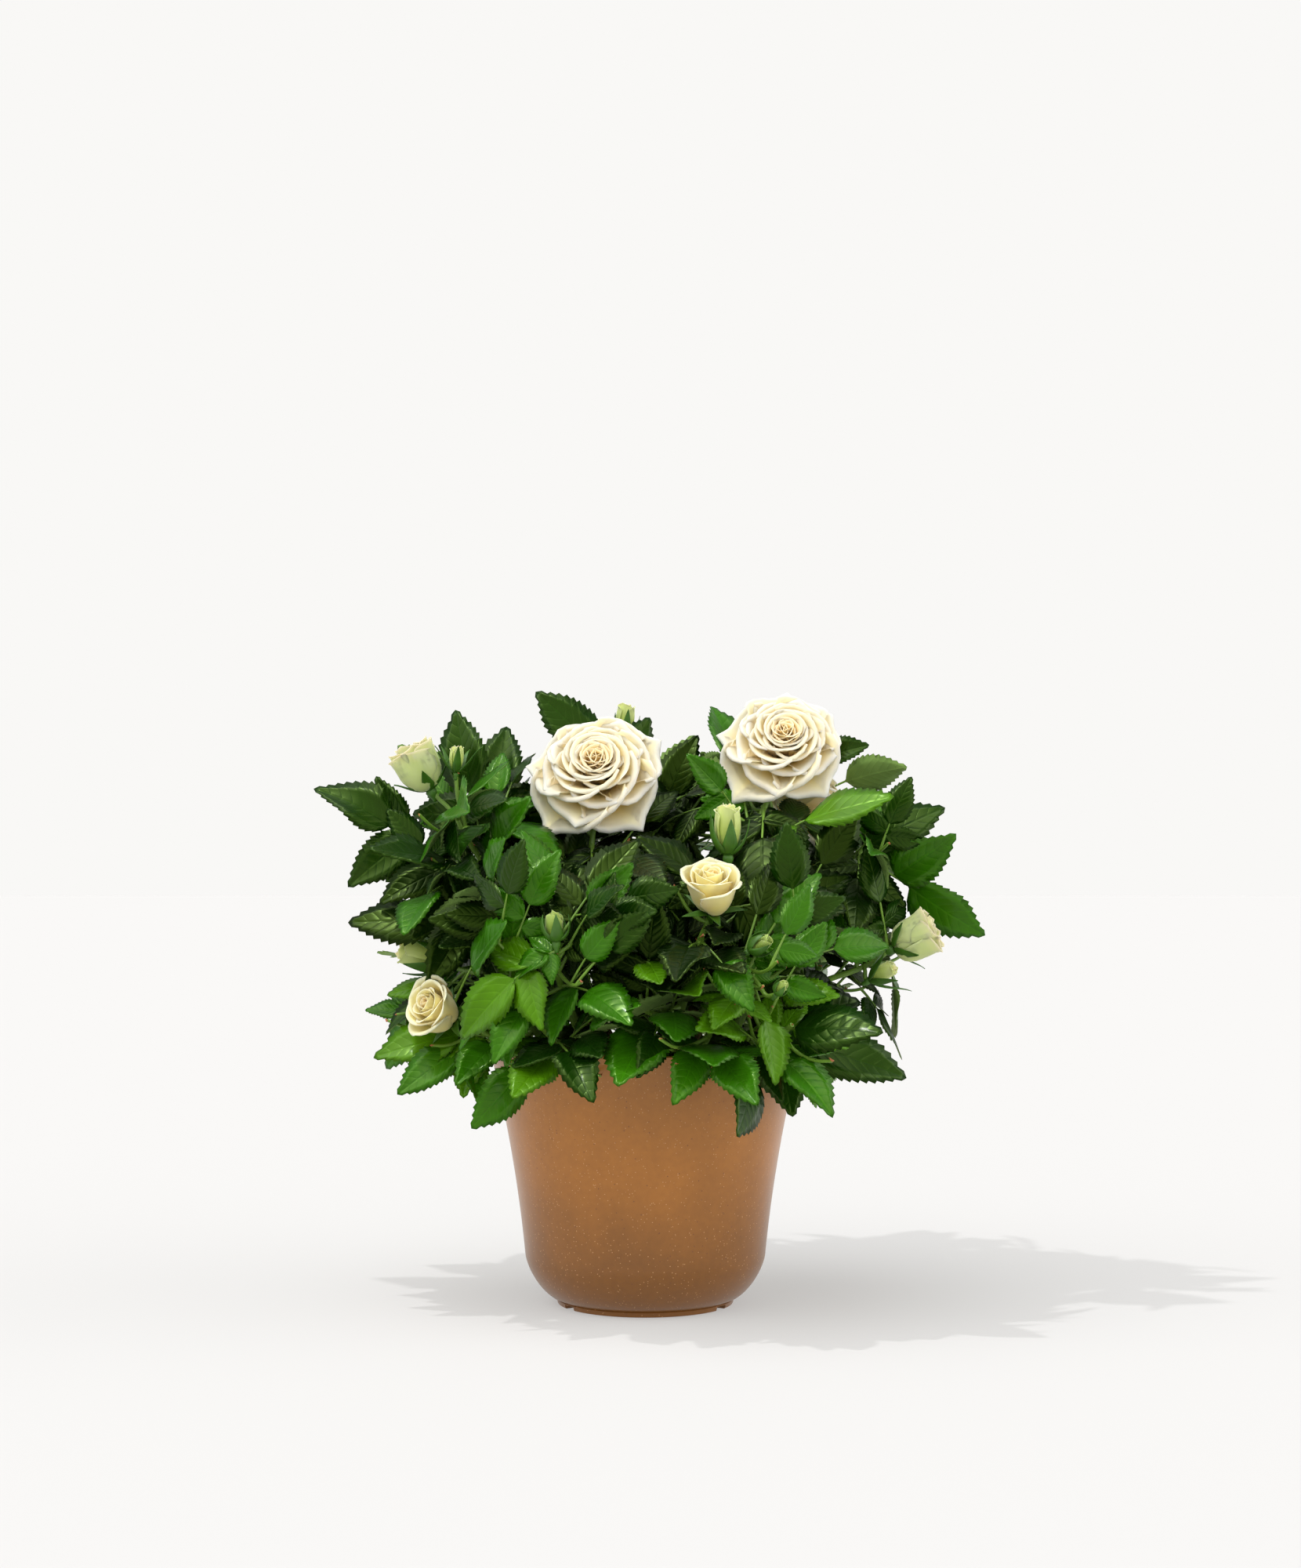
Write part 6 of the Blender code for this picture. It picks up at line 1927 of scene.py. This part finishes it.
def curved_sheet(flower, turn, unit, shape):
    """One petal or sepal: a leaning midline, wrapped round the head's axis, with a rolled rim."""
    half_columns = np.array(shape.get("columns", PETAL_COLUMNS))
    u = np.concatenate([-half_columns[:0:-1], half_columns])[None, :]
    tip = np.maximum(0.0, 1.0 - np.abs(u) / TIP_HALF) ** 1.3
    reach = 1.0 - shape["drop"] * np.abs(u) ** 2.4 + shape["tip"] * tip
    v = np.linspace(0.0, 1.0, PETAL_ROWS + 1)[:, None] * reach
    low, middle, high = [math.radians(value) for value in shape["lean"]]
    lean = low * (1 - v) ** 2 + 2 * middle * v * (1 - v) + high * v ** 2
    step = shape["length"] * reach / PETAL_ROWS
    out = np.vstack([np.full_like(reach, shape["root"]), summed(lean, step, shape["root"], np.sin)])
    rise = np.vstack([np.full_like(reach, shape["base"]), summed(lean, step, shape["base"], np.cos)])
    full = np.sin(np.pi / 2 * np.minimum(1.0, v / shape.get("fullest", 0.60)))
    body = BASE_WIDTH + (1.0 - BASE_WIDTH) * full
    if "taper" in shape:
        body = body * ((1.0 - np.minimum(v, 1.0) ** shape["taper"]) ** 0.85 + 0.012)
    across = u * shape["width"] * body
    wrap = np.maximum(shape["wrap"] * (0.5 + 0.5 * v), out * shape.get("hug", 1.0))
    bend = np.clip(across / wrap, -2.5, 2.5)
    inward = wrap * (1.0 - np.cos(bend)) + shape["slant"] * u * shape["width"] * v
    inward = inward + shape["ruffle"] * np.sin(6.0 * u + shape["phase"] + 3.0 * v) * v ** 3
    radial = out - np.cos(lean) * inward
    axial = rise + np.sin(lean) * inward
    across = wrap * np.sin(bend)
    if shape["lip"]:
        curl = math.radians(shape["roll"])
        if shape["tip"]:
            curl = curl * (0.35 + 0.65 * np.clip(np.abs(u) / ROLL_HALF, 0.0, 1.0))
        rolled = lean[-1:] + curl * np.linspace(0.0, 1.0, LIP_ROWS + 1)[:, None]
        rolled = rolled + np.zeros_like(u)
        lip = shape["lip"] * (1.0 - 0.5 * u ** 4) / LIP_ROWS
        over = summed(rolled, lip, 0.0, np.sin)
        radial = np.vstack([radial, radial[-1:] + over * np.cos(bend[-1:])])
        across = np.vstack([across, across[-1:] + over * np.sin(bend[-1:])])
        axial = np.vstack([axial, axial[-1:] + summed(rolled, lip, 0.0, np.cos)])
    facing, start = axes_of(flower)
    away = Matrix.Rotation(turn, 3, facing) @ start
    side = facing.cross(away)
    away, side, facing, centre = [np.array(line) for line in (away, side, facing, head_middle(flower))]
    spread = radial[..., None] * away + across[..., None] * side + axial[..., None] * facing
    front = centre + unit * spread
    normal = np.cross(np.gradient(front, axis=1), np.gradient(front, axis=0))
    normal /= np.maximum(np.linalg.norm(normal, axis=2, keepdims=True), 1e-12)
    thin = shape["thickness"] * (1.0 - 0.6 * np.abs(u)) * np.linspace(1.0, 0.5, len(front))[:, None]
    return front, front - normal * thin[..., None]


def head_middle(flower):
    """The middle of a head: an open rose stands a little up on its hip."""
    return flower.middle + Vector((0.0, 0.0, ROSE_LIFT if flower.kind == "rose" else 0.0))


def add_petals(flower, sheets, tones, rng):
    """The petals of one head, from its heart outwards by the golden angle."""
    kind = PETALS[flower.kind]
    unit = flower.width / 2 * (ROSE_SHARE if flower.kind == "rose" else 1.0)
    for order in range(kind["count"]):
        share = order / (kind["count"] - 1)
        leaned = share ** kind["lean_power"]
        shape = {name: between(kind[name], share) for name in ("base", "root", "wrap", "drop", "lip", "roll")}
        shape["tip"] = between(kind["tip"], share ** 3)
        shape["length"] = between(kind["length"], share ** 0.85) * rng.uniform(0.96, 1.04)
        shape["width"] = between(kind["width"], share ** 0.7) * rng.uniform(0.94, 1.06)
        shape["lean"] = [between(pair, leaned) + rng.uniform(-3.0, 3.0) for pair in zip(*kind["lean"])]
        shape["ruffle"] = kind["ruffle"] * (0.4 + 0.6 * share)
        shape["slant"] = kind["slant"]
        shape["phase"] = rng.uniform(0.0, FULL_TURN)
        shape["thickness"] = PETAL_THICKNESS
        turn = order * GOLDEN_ANGLE + rng.uniform(-0.10, 0.10)
        front, back = curved_sheet(flower, turn, unit, shape)
        tone = kind["tones"][min(int(share * len(kind["tones"])), len(kind["tones"]) - 1)]
        sheets.add(front, back, tones.index(tone))


def add_sepals(flower, sheets, rng):
    """Five sepals round the hip, clasping a bud and turned down under an open rose."""
    kind = PETALS[flower.kind]
    lean, length, width = kind["sepals"]
    clasping = lean[1] < CLASPING_LEAN
    if flower.width < LONG_SEPALED and lean[2] > 0.0:
        length *= 1.5
        lean = (lean[0], lean[1], 55.0)
    for order in range(SEPALS):
        shape = {"base": kind["base"][1] - 0.02, "root": 0.16 if clasping else 0.10,
                 "width": width, "wrap": 0.5,
                 "lean": [value + rng.uniform(-6.0, 6.0) for value in lean],
                 "length": length * rng.uniform(0.92, 1.08),
                 "drop": 0.0, "tip": 0.0, "lip": 0.0, "slant": 0.0, "ruffle": 0.03,
                 "phase": rng.uniform(0.0, FULL_TURN),
                 "thickness": SEPAL_THICKNESS, "taper": 1.15, "fullest": 0.34, "columns": SEPAL_COLUMNS,
                 "hug": 1.08 if clasping else 0.6}
        front, back = curved_sheet(flower, order * 2 * math.pi / SEPALS + 0.3, flower.width / 2, shape)
        sheets.add(front, back, 0)


def hip_profile(flower):
    """The green hip under the petals: radius and height along the head's axis, from the stalk up."""
    kind = PETALS[flower.kind]
    unit = flower.width / 2
    base = kind["base"][1] * unit
    wide = kind["hip"] * unit
    return [(0.0, base - 2.4 * wide), (0.0008, base - 2.4 * wide), (0.0011, base - 1.9 * wide),
            (wide * 0.72, base - 1.3 * wide), (wide, base - 0.7 * wide), (wide * 0.96, base - 0.2 * wide),
            (wide * 0.8, base + 0.15 * wide), (0.0, base + 0.35 * wide)]


def add_hip(flower, sheets):
    """A turned hip round the head's axis."""
    facing, start = axes_of(flower)
    around = [Matrix.Rotation(2 * math.pi * step / HIP_SIDES, 3, facing) @ start for step in range(HIP_SIDES)]
    rings = []
    for radius, height in hip_profile(flower):
        centre = head_middle(flower) + facing * height
        rings.append([centre + line * max(radius, THINNEST) for line in around])
    sheets.add_round(np.array(rings))


def tidied(mesh, merge):
    """Merges the points that meet, where a distance is given, and turns every face outwards."""
    shape = bmesh.new()
    shape.from_mesh(mesh)
    if merge:
        bmesh.ops.remove_doubles(shape, verts=shape.verts, dist=merge)
    bmesh.ops.recalc_face_normals(shape, faces=shape.faces)
    shape.to_mesh(mesh)
    shape.free()
    return mesh


class ROSE_BUSH_OT_roses(bpy.types.Operator):
    """Builds every rose and bud petal by petal, with its hip and sepals"""

    bl_idname = "rose_bush.roses"
    bl_label = "Make the roses"

    def execute(self, context):
        settings = context.scene.rose_bush_rose
        _limbs, shoots = planted()
        rng = random.Random(SEED)
        tones = tuple(PETAL_BASES)
        petals = {"rose": Sheets(), "bud": Sheets()}
        bearing = {"rose": set(), "bud": set()}
        sepals = Sheets()
        for shoot in shoots:
            for flower in shoot.flowers:
                kind = "rose" if flower.kind == "rose" else "bud"
                bearing[kind].add(shoot.name)
                add_petals(flower, petals[kind], tones, rng)
                add_sepals(flower, sepals, rng)
                add_hip(flower, sepals)
        skins = []
        for tone, base in PETAL_BASES.items():
            turns = FRAYED_TURNS if tone == "frayed" else RIM_TURNS
            rim = tuple(getattr(settings, tone))
            skins.append(petal_material("%s_rose_petal" % tone, linear(base), rim, turns))
        for kind, sheets in petals.items():
            names = [shoot.name for shoot in shoots if shoot.name in bearing[kind]]
            hand_over("%s_petals" % kind, sheets.mesh("%s_petals" % kind, skins), names)
        green = twig_material("green_sepal", tuple(settings.sepal), 0.5)
        hand_over("sepals_and_hips", sepals.mesh("sepals_and_hips", [green]),
                  [shoot.name for shoot in shoots if shoot.flowers])
        return {"FINISHED"}


# Stage: the floor, the small lamp, and the windows as (direction, cosine where it starts, cosine
# where it is full, share of the panel's strength)
FLOOR_RADIUS = 40.0
FLOOR_SIDES = 96
FLOOR_PAPER = "#9c9b9a"
FLOOR_GLOW = 0.390
KEY_PLACE = (-0.20, -0.125, 0.70)
KEY_RADIUS = 0.007
WINDOWS = (((-0.35, -0.25, 0.90), 0.70, 0.98, 3.2), ((-0.93, -0.30, 0.20), 0.84, 0.97, 1.5),
           ((0.0, -0.95, 0.26), 0.62, 0.96, 0.8), ((0.94, -0.18, 0.30), 0.70, 0.97, 2.7))

# Camera: the photo's width and focal length in pixels, and how far its middle lies over the horizon
PHOTO_WIDTH = 2000
PHOTO_FOCUS = 2900
PHOTO_RISE = 128
SENSOR = 36


class ROSE_BUSH_OT_stage(bpy.types.Operator):
    """Sets the pale floor, the soft studio light and the camera"""

    bl_idname = "rose_bush.stage"
    bl_label = "Set the stage"

    def execute(self, context):
        settings = context.scene.rose_bush_stage
        shape = bmesh.new()
        bmesh.ops.create_circle(shape, cap_ends=True, segments=FLOOR_SIDES, radius=FLOOR_RADIUS)
        floor = put("studio_floor", baked(shape, "studio_floor"))
        paint, _tree, _shader = new_material("matte_studio_paper", linear(FLOOR_PAPER), 0.95, {
            "Specular IOR Level": 0.0, "Emission Color": (*settings.paper, 1.0),
            "Emission Strength": FLOOR_GLOW})
        floor.data.materials.append(paint)
        floor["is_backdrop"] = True
        self.make_sky(context, settings)
        self.add_lamp(settings.key)
        data = bpy.data.cameras.new("camera")
        data.lens = PHOTO_FOCUS / PHOTO_WIDTH * SENSOR
        data.sensor_width = SENSOR
        data.clip_start = 0.01
        camera = put("camera", data)
        camera.location = VIEWPOINT
        camera.rotation_euler = (math.pi / 2 + math.atan2(PHOTO_RISE, PHOTO_FOCUS), 0.0, 0.0)
        context.scene.camera = camera
        context.scene.view_settings.view_transform = "Standard"
        context.scene.view_settings.look = "None"
        return {"FINISHED"}

    def make_sky(self, context, settings):
        """Even light with broad bright windows round the plant; the camera sees plain paper."""
        world = bpy.data.worlds.new("soft_daylight")
        context.scene.world = world
        world.use_nodes = True
        tree = world.node_tree
        toward = add_node(tree, "ShaderNodeTexCoord", {}).outputs["Generated"]
        glow = settings.sky
        for aim, low, high, share in WINDOWS:
            facing = add_node(tree, "ShaderNodeVectorMath", {0: toward, 1: Vector(aim).normalized()},
                              operation="DOT_PRODUCT")
            lobe = add_node(tree, "ShaderNodeMapRange",
                            {"Value": facing, 1: low, 2: high, 3: 0.0, 4: settings.window * share},
                            interpolation_type="SMOOTHSTEP")
            glow = add_node(tree, "ShaderNodeMath", {0: glow, 1: lobe}, operation="ADD")
        even = fill(tree, tree.nodes["Background"], {"Color": (1.0, 1.0, 1.0, 1.0), "Strength": glow})
        paper = add_node(tree, "ShaderNodeBackground", {"Color": (*settings.paper, 1.0), "Strength": 1.0})
        camera_ray = add_node(tree, "ShaderNodeLightPath", {}).outputs["Is Camera Ray"]
        seen = add_node(tree, "ShaderNodeMixShader", {0: camera_ray, 1: even, 2: paper})
        fill(tree, tree.nodes["World Output"], {"Surface": seen})

    def add_lamp(self, strength):
        """A small lamp above the plant at the left, evened out so that the floor is lit alike all over."""
        data = bpy.data.lights.new("key_light", "POINT")
        data.shadow_soft_size = KEY_RADIUS
        data.energy = 1.0
        data.use_nodes = True
        tree = data.node_tree
        length = add_node(tree, "ShaderNodeLightPath", {}).outputs["Ray Length"]
        scaled = add_node(tree, "ShaderNodeMath", {0: length, 1: strength}, operation="MULTIPLY")
        falloff = add_node(tree, "ShaderNodeLightFalloff", {"Strength": scaled}).outputs["Constant"]
        fill(tree, tree.nodes["Emission"], {"Strength": falloff})
        put("key_light", data).location = KEY_PLACE


OPERATORS = (ROSE_BUSH_OT_pot, ROSE_BUSH_OT_medium, ROSE_BUSH_OT_wood, ROSE_BUSH_OT_twigs,
             ROSE_BUSH_OT_leaves, ROSE_BUSH_OT_roses, ROSE_BUSH_OT_stage)
SETTINGS = (("rose_bush_pot", PotSettings), ("rose_bush_leaf", LeafSettings),
            ("rose_bush_rose", RoseSettings), ("rose_bush_stage", StageSettings))


class ROSE_BUSH_PT_panel(bpy.types.Panel):
    """Lists the sizes and colours of the rose bush, and what makes each of its pieces"""

    bl_idname = "ROSE_BUSH_PT_panel"
    bl_label = "Rose bush"
    bl_space_type = "VIEW_3D"
    bl_region_type = "UI"
    bl_category = "Rose bush"

    def draw(self, context):
        for name, group in SETTINGS:
            box = self.layout.box()
            for field in group.__annotations__:
                box.prop(getattr(context.scene, name), field)
        for operator in OPERATORS:
            self.layout.operator(operator.bl_idname)


def register():
    for name, group in SETTINGS:
        bpy.utils.register_class(group)
        setattr(bpy.types.Scene, name, bpy.props.PointerProperty(type=group))
    for operator in OPERATORS:
        bpy.utils.register_class(operator)
    bpy.utils.register_class(ROSE_BUSH_PT_panel)


def unregister():
    bpy.utils.unregister_class(ROSE_BUSH_PT_panel)
    for operator in reversed(OPERATORS):
        bpy.utils.unregister_class(operator)
    for name, group in reversed(SETTINGS):
        delattr(bpy.types.Scene, name)
        bpy.utils.unregister_class(group)


def main():
    register()
    bpy.ops.rose_bush.stage()
    bpy.ops.rose_bush.pot()
    bpy.ops.rose_bush.medium()
    bpy.ops.rose_bush.wood()
    bpy.ops.rose_bush.twigs()
    bpy.ops.rose_bush.leaves()
    bpy.ops.rose_bush.roses()
    bpy.context.view_layer.update()
    boxes = {name: [list(corner) for corner in box]
             for name, box in (("cad", CAD_BOX), ("visual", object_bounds()))}


if __name__ == "__main__":
    main()
